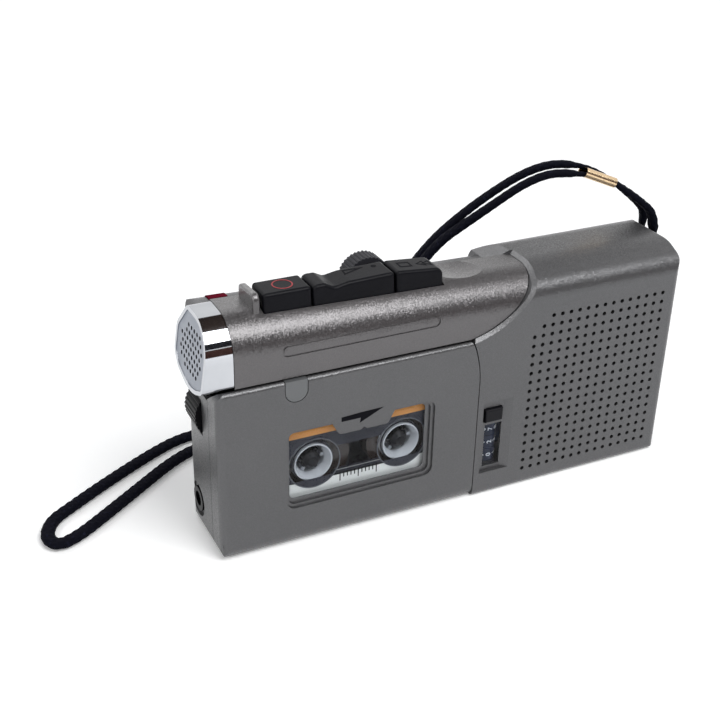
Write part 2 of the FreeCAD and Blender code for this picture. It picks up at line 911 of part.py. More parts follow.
def make_barrel_cover():
    block = barrel_block(0, 0).cut(barrel_block(wall, 0))
    space = box(cap_seam, right, front - 1, seam_y, lid_top + 0.3, barrel_top + 1)
    cover = block.common(space).cut(step_region(-step_gap, front - 1, rear + 1))

    lip = box(cap_seam + cap_gap, step_start[0] - 0.5, barrel_front, barrel_front + barrel_lip + 1.2,
              lid_top + 0.3, lid_top + 0.3 + 1.2)
    end_plate = prism("x", cap_section(0.4), cap_seam, cap_seam + barrel_end_thickness)
    end_plate = end_plate.common(box(left, right, front, seam_y, lid_top + 0.3, barrel_top + 1))
    posts = []
    for x in (bridge_left + 2.2, bridge_right - 2.2):
        posts.append(rod("z", x, stem_y, bridge_post_radius, bridge_low + bridge_thickness,
                         top_at(x, wall / 2)))
    guard_low = barrel_top - 2 * wall
    guard = prism("x", [
        (button_front, guard_low),
        (seam_y, guard_low),
        (seam_y, guard_top - guard_fall, 0.8),
        (button_front + 0.4, guard_top, 1.6),
    ], guard_left, guard_left + guard_thickness)
    guard = guard.makeFillet(guard_round, [edge for edge in guard.Edges
                                           if edge.BoundBox.XLength < 0.01
                                           and edge.BoundBox.ZMin > guard_low + 0.01])
    cover = fuse_all([cover, lip, end_plate, guard] + posts)

    cover = cover.cut(button_room())
    cover = cover.cut(rod("x", mic_y, mic_z, mic_radius + fit_gap, cap_seam - 1,
                          cap_seam + barrel_end_thickness + 1))
    scoop_radius = (scoop_length ** 2 / 4 + scoop_depth ** 2) / (2 * scoop_depth)
    ball_z = top_at(scoop_middle, scoop_depth) + scoop_radius
    ball = Part.makeSphere(scoop_radius, Vector(scoop_middle, scoop_y, ball_z))
    cover = cover.cut(ball)
    ring_outer = rectangle(label_groove_left, label_groove_right, label_groove_low,
                           label_groove_high, (label_groove_high - label_groove_low) / 2 - 0.01)
    inner_high = label_groove_high - label_groove_width
    inner_low = label_groove_low + label_groove_width
    ring_inner = rectangle(label_groove_left + label_groove_width,
                           label_groove_right - label_groove_width, inner_low, inner_high,
                           (inner_high - inner_low) / 2 - 0.01)
    ring = prism("y", ring_outer, barrel_front - 1, barrel_front + wall)
    ring = ring.cut(prism("y", ring_inner, barrel_front - 2, barrel_front + 2 * wall))
    return cover.cut(ring.cut(barrel_block(label_groove_depth, 0)))


def lid_plate(y0, y1):
    """The lid's front outline between two depths."""
    near_top = Vector(lid_right, y0, seam_knee)
    high = Vector(step_start[0] - panel_gap, y0, lid_top)
    low_right = Vector(lid_right, y0, 0)
    low_left = Vector(left, y0, 0)
    top_left = Vector(left, y0, lid_top)
    edges = [
        Part.LineSegment(top_left, low_left).toShape(),
        Part.LineSegment(low_left, low_right).toShape(),
        Part.LineSegment(low_right, near_top).toShape(),
        seam_curve(near_top, high),
        Part.LineSegment(high, top_left).toShape(),
    ]
    plate = Part.Face(Part.Wire(edges)).extrude(Vector(0, y1 - y0, 0))
    corner = [
        (left, 0, lower_left_radius),
        (right, 0),
        (right, lid_top),
        (left, lid_top, lid_corner_radius),
    ]
    return plate.common(prism("y", corner, y0 - 1, y1 + 1))


def lid_section(inset):
    """End view of the lid: front skin, rolled round the hinge line at the bottom."""
    return [
        (front + inset, hinge_z),
        (hinge_y, hinge_z),
        (hinge_y + hinge_radius, hinge_z),
        (hinge_y + hinge_radius, lid_top - lid_slope),
        (front + lid_skin, lid_top - 0.2),
        (front + inset, lid_top, lid_edge_radius),
    ]


def make_cassette_lid():
    end_shape = prism("x", lid_section(0), left, lid_right)
    roll = rod("x", hinge_y, hinge_z, hinge_radius, left, lid_right)
    roll = roll.cut(box(left - 1, right, front - 1, rear, hinge_z, lid_top))
    outer = end_shape.fuse(roll)
    outer = outer.common(lid_plate(front - 1, rear))
    outer = outer.common(prism("z", plan(0), -1, lid_top + 1))

    hollow = box(left + lid_skin, right, front + lid_skin, rear, hinge_z, lid_top + 1)
    bore = rod("x", hinge_y, hinge_z, hinge_radius - lid_skin, left + lid_skin, lid_right + 1)
    behind = box(left + lid_skin, right, hinge_y + roll_end, rear, -1, hinge_z + 0.01)
    lid = outer.cut(hollow).cut(bore).cut(behind)

    ears = []
    right_start = lid_right - ear_inset + panel_gap
    ear_depth = hinge_radius - 0.35
    knuckle = rod("x", hinge_y, hinge_z, ear_depth, left + 0.3, left + lid_skin + ear_inset)
    ears.append(knuckle.common(lid_plate(front - 1, rear)))
    right_ear = rod("x", hinge_y, hinge_z, hinge_radius - lid_skin + 0.4, right_start, lid_right)
    ears.append(right_ear)
    flange = box(cap_seam + 0.6, step_start[0] - 1.0, front + lid_skin / 2,
                 front + lid_skin + flange_depth, lid_top - flange_height - 0.4, lid_top - 0.4)
    lid = fuse_all([lid, flange] + ears)

    lid = lid.cut(rod("x", hinge_y, hinge_z, hinge_pin_radius + pin_clearance, left + 0.7,
                      lid_right + 1))
    frame = prism("y", rectangle(frame_left, frame_right, frame_low, frame_high, frame_radius),
                  front - 1, front + frame_drop)
    middle = prism("y", rectangle(frame_left + frame_step, frame_right - 2 * frame_step,
                                  frame_low + 2 * frame_step, frame_high - frame_step,
                                  frame_radius - frame_step),
                   front - 1, front + 2 * frame_drop)
    opening = prism("y", rectangle(pane_left, pane_right, pane_low, pane_high, pane_radius),
                    front - 1, front + lid_skin + 1)
    lip_room = prism("y", rectangle(pane_left - pane_lip, pane_right + pane_lip,
                                    pane_low - pane_lip, pane_high + pane_lip - 0.3,
                                    pane_radius),
                     front + lid_skin - 0.25, front + lid_skin + 1)
    tongue = prism("y", [
        (tongue_top_left, frame_high + 1),
        (tongue_low_left, tongue_low, 0.8),
        ((tongue_low_left + tongue_low_right) / 2 - tongue_notch, tongue_low),
        ((tongue_low_left + tongue_low_right) / 2, tongue_low + tongue_notch),
        ((tongue_low_left + tongue_low_right) / 2 + tongue_notch, tongue_low),
        (tongue_low_right, tongue_low, 0.8),
        (tongue_top_right, frame_high + 1),
    ], front, front + 2 * frame_drop)
    cutter = frame.fuse(middle).fuse(opening).cut(tongue)
    lid = lid.cut(cutter).cut(lip_room)

    tab_room = tab_outline(tab_width / 2 + tab_gap, tab_low - tab_gap)
    tab_cut = prism("y", tab_room, front - 1, front + lid_skin)
    tab_slot = box(tab_middle - tab_width / 2, tab_middle + tab_width / 2, front + lid_skin - 0.1,
                   front + lid_skin + flange_depth + 0.1, lid_top - flange_height - 0.5, lid_top + 1)
    return lid.cut(tab_cut).cut(tab_slot)


def tab_outline(half_width, low):
    return [
        (tab_middle - half_width, low, half_width - 0.01),
        (tab_middle + half_width, low, half_width - 0.01),
        (tab_middle + half_width, lid_top + 1),
        (tab_middle - half_width, lid_top + 1),
    ]


def make_lid_catch():
    face = prism("y", tab_outline(tab_width / 2, tab_low), front + 0.05, front + lid_skin)
    face = face.cut(box(left, right, front - 1, rear, lid_top - 0.15, lid_top + 2))
    half = tab_width / 2 + tab_back_margin
    back = box(tab_middle - half, tab_middle + half, front + lid_skin, front + lid_skin + tab_back,
               tab_low - 0.9, lid_top - flange_height - 0.6)
    hook = box(tab_middle - tab_width / 2 + 0.3, tab_middle + tab_width / 2 - 0.3,
               front + lid_skin - 0.1, front + lid_skin + tab_hook,
               lid_top - flange_height - 0.6, lid_top - 0.3)
    return fuse_all([face, back, hook])


def make_lid_window():
    pane = prism("y", rectangle(pane_left + fit_gap, pane_right - fit_gap, pane_low + fit_gap,
                                pane_high - fit_gap, pane_radius), pane_front,
                 front + lid_skin + 0.35)
    tongue_room = prism("y", [
        (tongue_top_left - 0.3, frame_high + 2),
        (tongue_low_left - 0.2, tongue_low - 0.2, 0.8),
        (tongue_low_right + 0.2, tongue_low - 0.2, 0.8),
        (tongue_top_right + 0.3, frame_high + 2),
    ], front - 1, front + 2 * frame_drop + fit_gap)
    pane = pane.cut(tongue_room)
    lip = prism("y", rectangle(pane_left - pane_lip + fit_gap, pane_right + pane_lip - fit_gap,
                               pane_low - pane_lip + fit_gap, pane_high + pane_lip - 0.3 - fit_gap,
                               pane_radius), front + lid_skin - 0.25, front + lid_skin + 0.35)
    return pane.fuse(lip).removeSplitter()


def make_lid_hinge_pins():
    spans = hinge_ear_spans()
    first = rod("x", hinge_y, hinge_z, hinge_pin_radius, left + 0.75, spans[0][1])
    second = rod("x", hinge_y, hinge_z, hinge_pin_radius, spans[1][0], lid_right)
    return Part.makeCompound([first, second])


def make_cassette_springs():
    springs = []
    rest = front + lid_skin
    for x in (supply_x - 1.2, takeup_x - 4.0):
        leaf = prism("x", [
            (rest, 31.2),
            (rest + 0.3, 31.2),
            (rest + 0.3, 33.0, 2.0),
            (cassette_front - 0.05, 36.0, 2.0),
            (rest + 0.5, 39.0, 2.0),
            (rest + 0.5, 40.2),
            (rest + 0.2, 40.2),
            (rest + 0.2, 39.0, 2.0),
            (cassette_front - 0.35, 36.0, 2.0),
            (rest, 33.0, 2.0),
        ], x, x + 5.0)
        springs.append(leaf)
    return Part.makeCompound(springs)


def face_layer(start, end):
    """Slab between two depths behind the cap's face, which leans back towards the top."""
    tall = barrel_top - cap_bottom + 4 * wall
    slab = box(cap_face + start, cap_face + end, front, rear, cap_bottom - 2 * wall,
               cap_bottom + tall)
    slab.rotate(Vector(cap_face, 0, cap_bottom), Vector(0, 1, 0), cap_tilt)
    return slab


def make_mic_cap():
    outer = prism("x", cap_section(0), cap_face - 1, cap_seam - cap_gap)
    inner = prism("x", cap_section(cap_wall), cap_face - 2, cap_seam)
    shell = outer.cut(inner).cut(face_layer(-cap_length, 0))
    ledge_start = grille_recess + grille_thickness
    ledge = prism("x", cap_section(cap_wall / 2), cap_face - 1, cap_seam)
    ledge = ledge.cut(prism("x", cap_section(cap_wall + 0.7), cap_face - 2, cap_seam + 1))
    ledge = ledge.common(face_layer(ledge_start, ledge_start + 0.8))
    return shell.fuse(ledge).removeSplitter()


def make_mic_grille():
    plate = prism("x", cap_section(cap_wall + 0.03), cap_face - 1, cap_seam)
    plate = plate.common(face_layer(grille_recess, grille_recess + grille_thickness))
    field = prism("x", cap_section(cap_wall + 1.9), cap_face - 1, cap_seam)
    holes = []
    rows = 12
    middle_y = (barrel_front + cap_rear) / 2
    middle_z = (cap_bottom + barrel_top) / 2
    for row in range(-rows, rows + 1):
        z = middle_z + row * mic_hole_pitch * math.sin(math.pi / 3)
        shift = mic_hole_pitch / 2 if row % 2 else 0
        for column in range(-6, 7):
            y = middle_y + column * mic_hole_pitch + shift
            if field.isInside(Vector(cap_face, y, z), 1e-3, True):
                holes.append(rod("x", y, z, mic_hole_radius, cap_face - 1, cap_seam))
    return plate.cut(Part.makeCompound(holes))


def make_mic_capsule():
    start = cap_seam + barrel_end_thickness + 0.6 - mic_length
    can = rod("x", mic_y, mic_z, mic_radius, start, start + mic_length)
    return can.makeChamfer(0.3, [edge for edge in can.Edges if edge.Closed])


def button_shell(start, end, crown, stem_low):
    """Hollow push button between two X positions, with a crown drawn as an XZ outline."""
    side = [
        (button_front, button_low),
        (button_rear, button_low),
        (button_rear, button_top + 1, 0),
        (button_front + button_lean, button_top + 1, 0),
        (button_front, barrel_top - 0.6),
    ]
    block = prism("y", crown, button_front - 1, button_rear + 1)
    block = block.common(prism("x", side, start - 1, end + 1))
    rims = []
    for edge in block.Edges:
        bounds = edge.BoundBox
        long_ways = bounds.XLength > 0.3 and bounds.YLength < 0.02 + button_lean
        if bounds.ZMin > barrel_top + 1.0 and long_ways and bounds.YLength < 0.6:
            rims.append(edge)
    block = block.makeFillet(button_edge, rims)
    hollow = box(start + button_wall, end - button_wall, button_front + button_wall + 0.3,
                 button_rear - button_wall, button_low - 1, button_top - 2.2)
    block = block.cut(hollow)
    lips = box(start, end, button_front - button_lip, button_front + 0.2, button_low,
               button_low + button_lip_height)
    back_lip = box(start, end, button_rear - 0.2, button_rear + button_lip / 2, button_low,
                   button_low + button_lip_height)
    middle = (start + end) / 2
    stem = rod("z", middle, stem_y, stem_radius, stem_low, button_top - 2.0)
    return fuse_all([block, lips, back_lip, stem])


def make_record_button():
    crown = [
        (record_left, button_low),
        (record_right, button_low),
        (record_right, button_top, button_edge),
        (record_left, button_top, button_edge),
    ]
    return button_shell(record_left, record_right, crown, sled_top + button_travel + 0.2)


def make_play_button():
    bump_end = play_left + play_bump_width
    crown = [
        (play_left, button_low),
        (play_right, button_low),
        (play_right, button_top - 0.2, button_edge),
        (bump_end + 5.5, button_top - 0.5, 9.0),
        (bump_end + 2.2, button_top - play_dip, 2.0),
        (bump_end, button_top, 1.4),
        (play_left, button_top, 1.2),
    ]
    return button_shell(play_left, play_right, crown, sled_top + sled_tab_thickness + 0.2)


def make_stop_button():
    crown = [
        (stop_left, button_low),
        (stop_right, button_low),
        (stop_right, button_top - stop_fall, 1.8),
        (stop_left, button_top - 0.2, button_edge),
    ]
    return button_shell(stop_left, stop_right, crown, sled_top + button_travel + 0.2)


def make_coil_spring(x):
    """One unbroken wire from the bridge up to the underside of a button."""
    low = bridge_low + bridge_thickness + coil_wire / 2
    high = button_top - 2.2 - coil_wire / 2
    rise = (high - low) / (2 * coil_turns)
    edges = []
    for half_turn in range(2 * coil_turns):
        z = low + half_turn * rise
        side = 1 if half_turn % 2 == 0 else -1
        start = Vector(x + side * coil_radius, stem_y, z)
        top = Vector(x, stem_y + side * coil_radius, z + rise / 2)
        end = Vector(x - side * coil_radius, stem_y, z + rise)
        edges.append(Part.Arc(start, top, end).toShape())
    path = Part.Wire(edges)
    profile = Part.Wire([Part.Circle(path.Vertexes[0].Point, Vector(0, 1, 0),
                                     coil_wire / 2).toShape()])
    return path.makePipeShell([profile], True, False)


def make_button_bridge():
    plate = box(bridge_left, bridge_right, bridge_front, bridge_rear, bridge_low,
                bridge_low + bridge_thickness)
    for start, end in ((record_left, record_right), (play_left, play_right),
                       (stop_left, stop_right)):
        plate = plate.cut(rod("z", (start + end) / 2, stem_y, stem_radius + running_gap,
                              bridge_low - 1, bridge_low + bridge_thickness + 1))
    return plate


def ribbed_wheel(axis, u, v, radius, start, end, bore):
    """Thumbwheel with a ribbed rim and a smooth hub."""
    wheel = rod(axis, u, v, radius, start, end)
    cutters = []
    for rib in range(wheel_ribs):
        angle = 2 * math.pi * rib / wheel_ribs
        reach = radius + 0.15
        cutters.append(rod(axis, u + reach * math.cos(angle), v + reach * math.sin(angle),
                           wheel_rib_depth, start - 1, end + 1))
    wheel = wheel.cut(Part.makeCompound(cutters))
    dish = rod(axis, u, v, radius - 1.4, start - 1, start + 0.4)
    wheel = wheel.cut(dish)
    return wheel.cut(rod(axis, u, v, bore, start - 1, end + 1))


def make_volume_wheel():
    return ribbed_wheel("y", volume_x, volume_z, volume_radius, volume_front,
                        volume_front + volume_width, wheel_shaft_radius + running_gap)


def make_speed_wheel():
    return ribbed_wheel("y", speed_x, speed_z, speed_radius, speed_front,
                        speed_front + speed_width, wheel_shaft_radius + running_gap)


def make_wheel_controls():
    space = shell_space(wall + inside_gap)
    controls = []
    for x, z, wheel_front, width in ((volume_x, volume_z, volume_front, volume_width),
                                     (speed_x, speed_z, speed_front, speed_width)):
        cheek_start = wheel_front + width + 0.1
        cheek_end = cheek_start + cheek_thickness
        body = rod("y", x, z, control_radius, cheek_end, board_front)
        cheek = box(x - cheek_width / 2, x + cheek_width / 2, cheek_start, cheek_end,
                    z - control_radius, z + wheel_shaft_radius - 0.6)
        foot = box(x - cheek_width / 2, x + cheek_width / 2, cheek_end, board_front,
                   z - control_radius - control_foot, z - control_radius / 2)
        shaft = rod("y", x, z, wheel_shaft_radius, wheel_front + 0.6, cheek_start)
        controls.append(fuse_all([body.fuse(foot).common(space), cheek, shaft]))
    return Part.makeCompound(controls)


def lamp_low():
    return barrel_top - cover_step - lamp_depth


def make_record_lamp():
    lens = box(lamp_left, lamp_right, lamp_front, lamp_rear, lamp_low(), barrel_top + 1)
    lens = lens.common(barrel_block(-lamp_proud, cover_step))
    stem = box(lamp_left + 1.2, lamp_right - 1.2, lamp_front + 0.2, board_front,
               lamp_low() - lamp_stem, lamp_low())
    stem = stem.common(shell_space(wall + inside_gap))
    return fuse_all([lens, stem])


def make_earphone_jack():
    bush = rod("x", jack_y, jack_z, jack_radius, left, left + wall + 1)
    body = box(left + wall, left + jack_length, jack_y - 3.0, jack_y + jack_body / 2 + 2.6,
               jack_z - 3.2, jack_z + jack_body / 2)
    body = body.common(shell_space(wall + inside_gap))
    socket = bush.fuse(body).removeSplitter()
    return socket.cut(rod("x", jack_y, jack_z, jack_bore, left - 1, left + jack_length - 1.2))


def make_speaker_frame():
    rim_front = front + wall
    ring = tube("y", speaker_x, speaker_z, speaker_radius, speaker_radius - speaker_rim,
                rim_front, rim_front + 0.8)
    basket = Part.makeCone(speaker_radius - speaker_rim + basket_wall, magnet_radius,
                           speaker_depth, Vector(speaker_x, rim_front, speaker_z),
                           Vector(0, 1, 0))
    inside = Part.makeCone(speaker_radius - speaker_rim, magnet_radius - basket_wall,
                           speaker_depth - basket_wall,
                           Vector(speaker_x, rim_front, speaker_z), Vector(0, 1, 0))
    basket = basket.cut(inside)
    vents = []
    for index in range(4):
        angle = math.pi / 4 + index * math.pi / 2
        x = speaker_x + vent_ring * math.cos(angle)
        z = speaker_z + vent_ring * math.sin(angle)
        vents.append(rod("y", x, z, 2.0, rim_front + 1.0, rim_front + speaker_depth + 1))
    return fuse_all([ring, basket]).cut(Part.makeCompound(vents))


def make_speaker_magnet():
    start = front + wall + speaker_depth
    return rod("y", speaker_x, speaker_z, magnet_radius, start, start + magnet_depth)


def make_speaker_cone():
    rim_front = front + wall
    wide = speaker_radius - speaker_rim - 0.05
    depth = speaker_depth - basket_wall - 0.9
    outer = Part.makeCone(wide, dust_cap_radius, depth, Vector(speaker_x, rim_front, speaker_z),
                          Vector(0, 1, 0))
    inner = Part.makeCone(wide - cone_thickness, dust_cap_radius - cone_thickness,
                          depth - cone_thickness, Vector(speaker_x, rim_front, speaker_z),
                          Vector(0, 1, 0))
    return outer.cut(inner)


def make_circuit_board():
    board_rear = board_front + board_thickness
    board = prism("y", [
        (board_left, board_low, 1.0),
        (board_step_x, board_low, 1.0),
        (board_step_x, board_step_z),
        (board_right, board_step_z, 1.0),
        (board_right, speaker_top - board_drop, 1.0),
        (ramp_end, speaker_top - board_drop),
        (ramp_start, top_at(ramp_start, cover_step + board_drop)),
        (board_left, top_at(board_left, cover_step + board_drop), 1.0),
    ], board_front, board_rear)
    for x, z in corner_screws:
        board = board.cut(rod("y", x, z, screw_boss_radius + 0.3, board_front - 1, board_rear + 1))
    eye_space = box(eye_inner_x() - eye_wall - 0.5, right, seam_y, rear, eye_low() - 2,
                    speaker_top + 1)
    return board.cut(eye_space)


def make_board_parts():
    """Chips and capacitors soldered to the front of the circuit board."""
    pieces = []
    chips = ((lid_right + 9.6, 44.5, 9.0, 6.0, 1.6), (right - 25.2, 44.0, 7.0, 7.0, 1.6),
             (cassette_middle - 3.8, 10.5, 8.0, 5.0, 1.4))
    for x, z, width, height, depth in chips:
        pieces.append(box(x - width / 2, x + width / 2, board_front - depth, board_front,
                          z - height / 2, z + height / 2))
    cans = ((lid_right + 21.6, 42.8, 2.4, 5.0), (right - 15.2, 44.0, 3.0, 5.0),
            (lid_right + 3.2, 44.5, 1.8, 4.5))
    for x, z, radius, depth in cans:
        pieces.append(rod("y", x, z, radius, board_front - depth, board_front))
    return Part.makeCompound(pieces)


def make_battery(centre_z):
    body = rod("x", cell_y, centre_z, cell_radius, cell_left, cell_left + cell_length)
    body = body.makeFillet(0.5, [edge for edge in body.Edges if edge.Closed])
    nub = rod("x", cell_y, centre_z, nub_radius, cell_left + cell_length - 0.1,
              cell_left + cell_length + nub_length)
    return body.fuse(nub)


def make_battery_contacts():
    pieces = []
    for z in cell_centres():
        pieces.append(box(cell_left - contact_thickness, cell_left, cell_y - 3, cell_y + 3,
                          z - contact_height / 2, z + contact_height / 2))
        end = cell_left + cell_length + nub_length
        pieces.append(box(end, end + contact_thickness, cell_y - 3, cell_y + 3,
                          z - contact_height / 2, z + contact_height / 2))
    return Part.makeCompound(pieces)


def gear(teeth, x, z, start, end):
    """Spur gear with straight-sided teeth, one tooth centred on +X."""
    pitch_radius = gear_module * teeth / 2
    root = pitch_radius - 1.1 * gear_module
    tip = pitch_radius + 0.8 * gear_module
    pitch_angle = 2 * math.pi / teeth
    solids = [rod("y", x, z, root + 0.05, start, end)]
    corners = []
    for radius, half in ((root, 0.3), (pitch_radius, 0.21), (tip, 0.1)):
        corners.append((radius, half * pitch_angle))
    for tooth in range(teeth):
        middle = tooth * pitch_angle
        shape = []
        for radius, half in corners:
            shape.append((x + radius * math.cos(middle - half), z + radius * math.sin(middle - half)))
        for radius, half in reversed(corners):
            shape.append((x + radius * math.cos(middle + half), z + radius * math.sin(middle + half)))
        solids.append(prism("y", shape, start, end))
    return fuse_all(solids)


def turned_gear(teeth, x, z, start, end, angle):
    wheel = gear(teeth, x, z, start, end)
    wheel.rotate(Vector(x, start, z), Vector(0, 1, 0), math.degrees(angle))
    return wheel


def idler_centre():
    distance = gear_module * (reel_teeth + idler_teeth) / 2
    return takeup_x - distance, reel_z


def gear_start():
    return deck_rear + gear_gap


def make_tape_deck():
    top_right = step_start[0] - inside_gap - 0.1
    plate = prism("y", [
        (deck_left, deck_low, 1.5),
        (deck_right, deck_low, 1.0),
        (deck_right, deck_slope_low),
        (top_right, deck_slope_high),
        (top_right, deck_top, 1.0),
        (deck_left, deck_top, 1.5),
    ], deck_front, deck_rear)
    bearing = rod("y", capstan_x, capstan_z, bearing_radius, deck_rear - 0.5, belt_y - 1.6)
    deck = plate.fuse(bearing)
    holes = [
        rod("y", capstan_x, capstan_z, capstan_radius + running_gap, deck_front - 1, belt_y),
        box(deck_left - 1, speed_x + speed_radius + 0.6, deck_front - 1, deck_rear + 1,
            speed_z - speed_radius - 0.8, speed_z + speed_radius + 0.8),
        box(sled_tab_left - 0.4, sled_tab_right + 0.4, deck_front - 1, deck_rear + 1,
            sled_top - button_travel - 0.4, deck_top + 1),
        rod("y", motor_x, motor_z, motor_shaft_radius + 0.4, deck_front - 1, deck_rear + 1),
    ]
    for x in (supply_x, takeup_x):
        holes.append(rod("y", x, reel_z, spindle_shaft_radius + running_gap, deck_front - 1,
                         deck_rear + 1))
    for x in (sled_left + guide_pin_inset, sled_right - guide_pin_inset):
        z = guide_pin_z()
        slot_half = guide_pin_radius + running_gap
        holes.append(box(x - slot_half, x + slot_half, deck_front - 1, deck_rear + 1,
                         z - button_travel - slot_half, z + slot_half))
    for x, z in deck_screws:
        holes.append(rod("y", x, z, deck_screw_radius + running_gap, deck_front - 1, deck_rear + 1))
    for start, end in hinge_ear_spans():
        holes.append(box(start - 0.3, end + 0.3, deck_front - 1, deck_rear + 1, 0,
                         hinge_z + ear_arm_high + 0.4))
    deck = deck.cut(Part.makeCompound(holes))
    idler_x, idler_z = idler_centre()
    idler_pin = rod("y", idler_x, idler_z, idler_pin_radius, deck_rear - 0.5, belt_y + 0.8)
    return deck.fuse(idler_pin)


def guide_pin_z():
    return sled_top - 2.2


def make_motor():
    can = rod("y", motor_x, motor_z, motor_radius, deck_rear, deck_rear + motor_depth)
    can = can.makeFillet(0.8, [edge for edge in can.Edges if edge.Closed
                               and edge.BoundBox.YMin > deck_rear + 1])
    return can.cut(rod("y", motor_x, motor_z, motor_shaft_radius + running_gap,
                       deck_rear + motor_depth - 3, deck_rear + motor_depth + 1))


def pulley(x, z, radius, start, end):
    """Belt pulley with a flange each side of its groove."""
    edge = pulley_flange
    low = rod("y", x, z, radius + edge, start, belt_y - belt_width / 2 - 0.05)
    groove = rod("y", x, z, radius, start, end)
    high = rod("y", x, z, radius + edge, belt_y + belt_width / 2 + 0.05, end)
    return fuse_all([groove, low, high])


def make_motor_pulley():
    start = belt_y - belt_width / 2 - 0.5
    wheel = pulley(motor_x, motor_z, motor_pulley_radius, start, belt_y + belt_width / 2 + 0.5)
    shaft = rod("y", motor_x, motor_z, motor_shaft_radius, deck_rear + motor_depth - 2.8,
                start + 0.1)
    return fuse_all([wheel, shaft])


def make_flywheel():
    start = belt_y - belt_width / 2 - 0.5
    wheel = pulley(capstan_x, capstan_z, flywheel_radius, start, start + flywheel_width)
    return wheel.cut(rod("y", capstan_x, capstan_z, capstan_radius, start - 1,
                         start + flywheel_width + 1))


def make_capstan():
    start = belt_y - belt_width / 2 - 0.5
    return rod("y", capstan_x, capstan_z, capstan_radius, -capstan_tip, start + flywheel_width)


def make_idler_gear():
    x, z = idler_centre()
    start = gear_start()
    wheel = turned_gear(idler_teeth, x, z, start, start + gear_width, math.pi / idler_teeth)
    neck = rod("y", x, z, 1.5, start, belt_y - belt_width / 2)
    disc = pulley(x, z, idler_pulley_radius, belt_y - belt_width / 2 - 0.5,
                  belt_y + belt_width / 2 + 0.5)
    wheel = fuse_all([wheel, neck, disc])
    return wheel.cut(rod("y", x, z, idler_pin_radius + running_gap, start - 1, belt_y + 3))


def spindle(x, wheel):
    """Reel spindle: a finned nose in the cassette hub and a wheel behind the deck."""
    start = gear_start()
    nose = rod("y", x, reel_z, spindle_radius, -spindle_tip, deck_front - 0.3)
    nose = nose.makeChamfer(0.9, [edge for edge in nose.Edges if edge.Closed
                                  and edge.BoundBox.YMax < -spindle_tip + 0.1])
    fins = []
    for index in range(hub_teeth):
        angle = 2 * math.pi * index / hub_teeth + math.pi / hub_teeth
        fin = box(x, x + spindle_radius + spindle_fin, -spindle_tip + 1.4, deck_front - 0.3,
                  reel_z - spindle_fin_width / 2, reel_z + spindle_fin_width / 2)
        fin.rotate(Vector(x, 0, reel_z), Vector(0, 1, 0), math.degrees(angle))
        fins.append(fin)
    shaft = rod("y", x, reel_z, spindle_shaft_radius, deck_front - 0.4,
                start + gear_width + spindle_tail)
    return fuse_all([nose, shaft, wheel] + fins)


def make_supply_spindle():
    start = gear_start()
    drum = rod("y", supply_x, reel_z, brake_drum_radius, start, start + gear_width)
    return spindle(supply_x, drum)


def make_takeup_spindle():
    start = gear_start()
    return spindle(takeup_x, gear(reel_teeth, takeup_x, reel_z, start, start + gear_width))


def make_drive_belt():
    """Flat belt round the motor pulley, the flywheel and the idler pulley."""
    idler_x, idler_z = idler_centre()
    wheels = [
        (motor_x, motor_z, motor_pulley_radius),
        (idler_x, idler_z, idler_pulley_radius),
        (capstan_x, capstan_z, flywheel_radius),
    ]
    gap = 0.02
    inner = belt_loop(wheels, gap)
    outer = belt_loop(wheels, gap + belt_thickness / 2)
    return outer.cut(inner)


def belt_loop(wheels, grow):
    """Solid bounded by the outer tangents and arcs of three circles, in turn."""
    start_y = belt_y - belt_width / 2
    edges = []
    count = len(wheels)
    leaves = []
    arrives = []
    for index in range(count):
        x0, z0, r0 = wheels[index]
        x1, z1, r1 = wheels[(index + 1) % count]
        r0 += grow
        r1 += grow
        length = math.hypot(x1 - x0, z1 - z0)
        heading = math.atan2(z1 - z0, x1 - x0)
        swing = math.acos((r0 - r1) / length)
        angle = heading - swing
        leaves.append((Vector(x0 + r0 * math.cos(angle), start_y, z0 + r0 * math.sin(angle)), angle))
        arrives.append((Vector(x1 + r1 * math.cos(angle), start_y, z1 + r1 * math.sin(angle)), angle))
    for index in range(count):
        x, z, radius = wheels[index]
        radius += grow
        entry, entry_angle = arrives[index - 1]
        leave, leave_angle = leaves[index]
        sweep = (leave_angle - entry_angle) % (2 * math.pi)
        middle_angle = entry_angle + sweep / 2
        middle = Vector(x + radius * math.cos(middle_angle), start_y,
                        z + radius * math.sin(middle_angle))
        edges.append(Part.Arc(entry, middle, leave).toShape())
        edges.append(Part.LineSegment(leave, arrives[index][0]).toShape())
    return Part.Face(Part.Wire(edges)).extrude(Vector(0, belt_width, 0))


def sled_low():
    return cassette_top + button_travel + sled_rest_gap


def head_low():
    return cassette_top + 0.5


def make_head_sled():
    rear_face = deck_front - 0.05
    front_face = rear_face - sled_thickness
    plate = prism("y", rectangle(sled_left, sled_right, sled_low(), sled_top, 1.0), front_face,
                  rear_face)
    tab = box(sled_tab_left, sled_tab_right, front_face, sled_tab_rear, sled_top - 0.2,
              sled_top + sled_tab_thickness)
    pieces = [plate, tab]
    for x in (sled_left + guide_pin_inset, sled_right - guide_pin_inset):
        pieces.append(rod("y", x, guide_pin_z(), guide_pin_radius, rear_face - 0.2,
                          deck_rear - 0.1))
    axle_z = pinch_centre_z()
    pieces.append(rod("y", capstan_x, axle_z, pinch_bore, front_face - pinch_width - 0.5,
                      front_face + 0.2))
    pieces.append(rod("y", capstan_x, axle_z, 1.5, front_face - 0.15, front_face + 0.2))
    return fuse_all(pieces)


def sled_front():
    return deck_front - 0.05 - sled_thickness


def pinch_centre_z():
    return capstan_z + capstan_radius + pinch_radius + button_travel + tape_squeeze


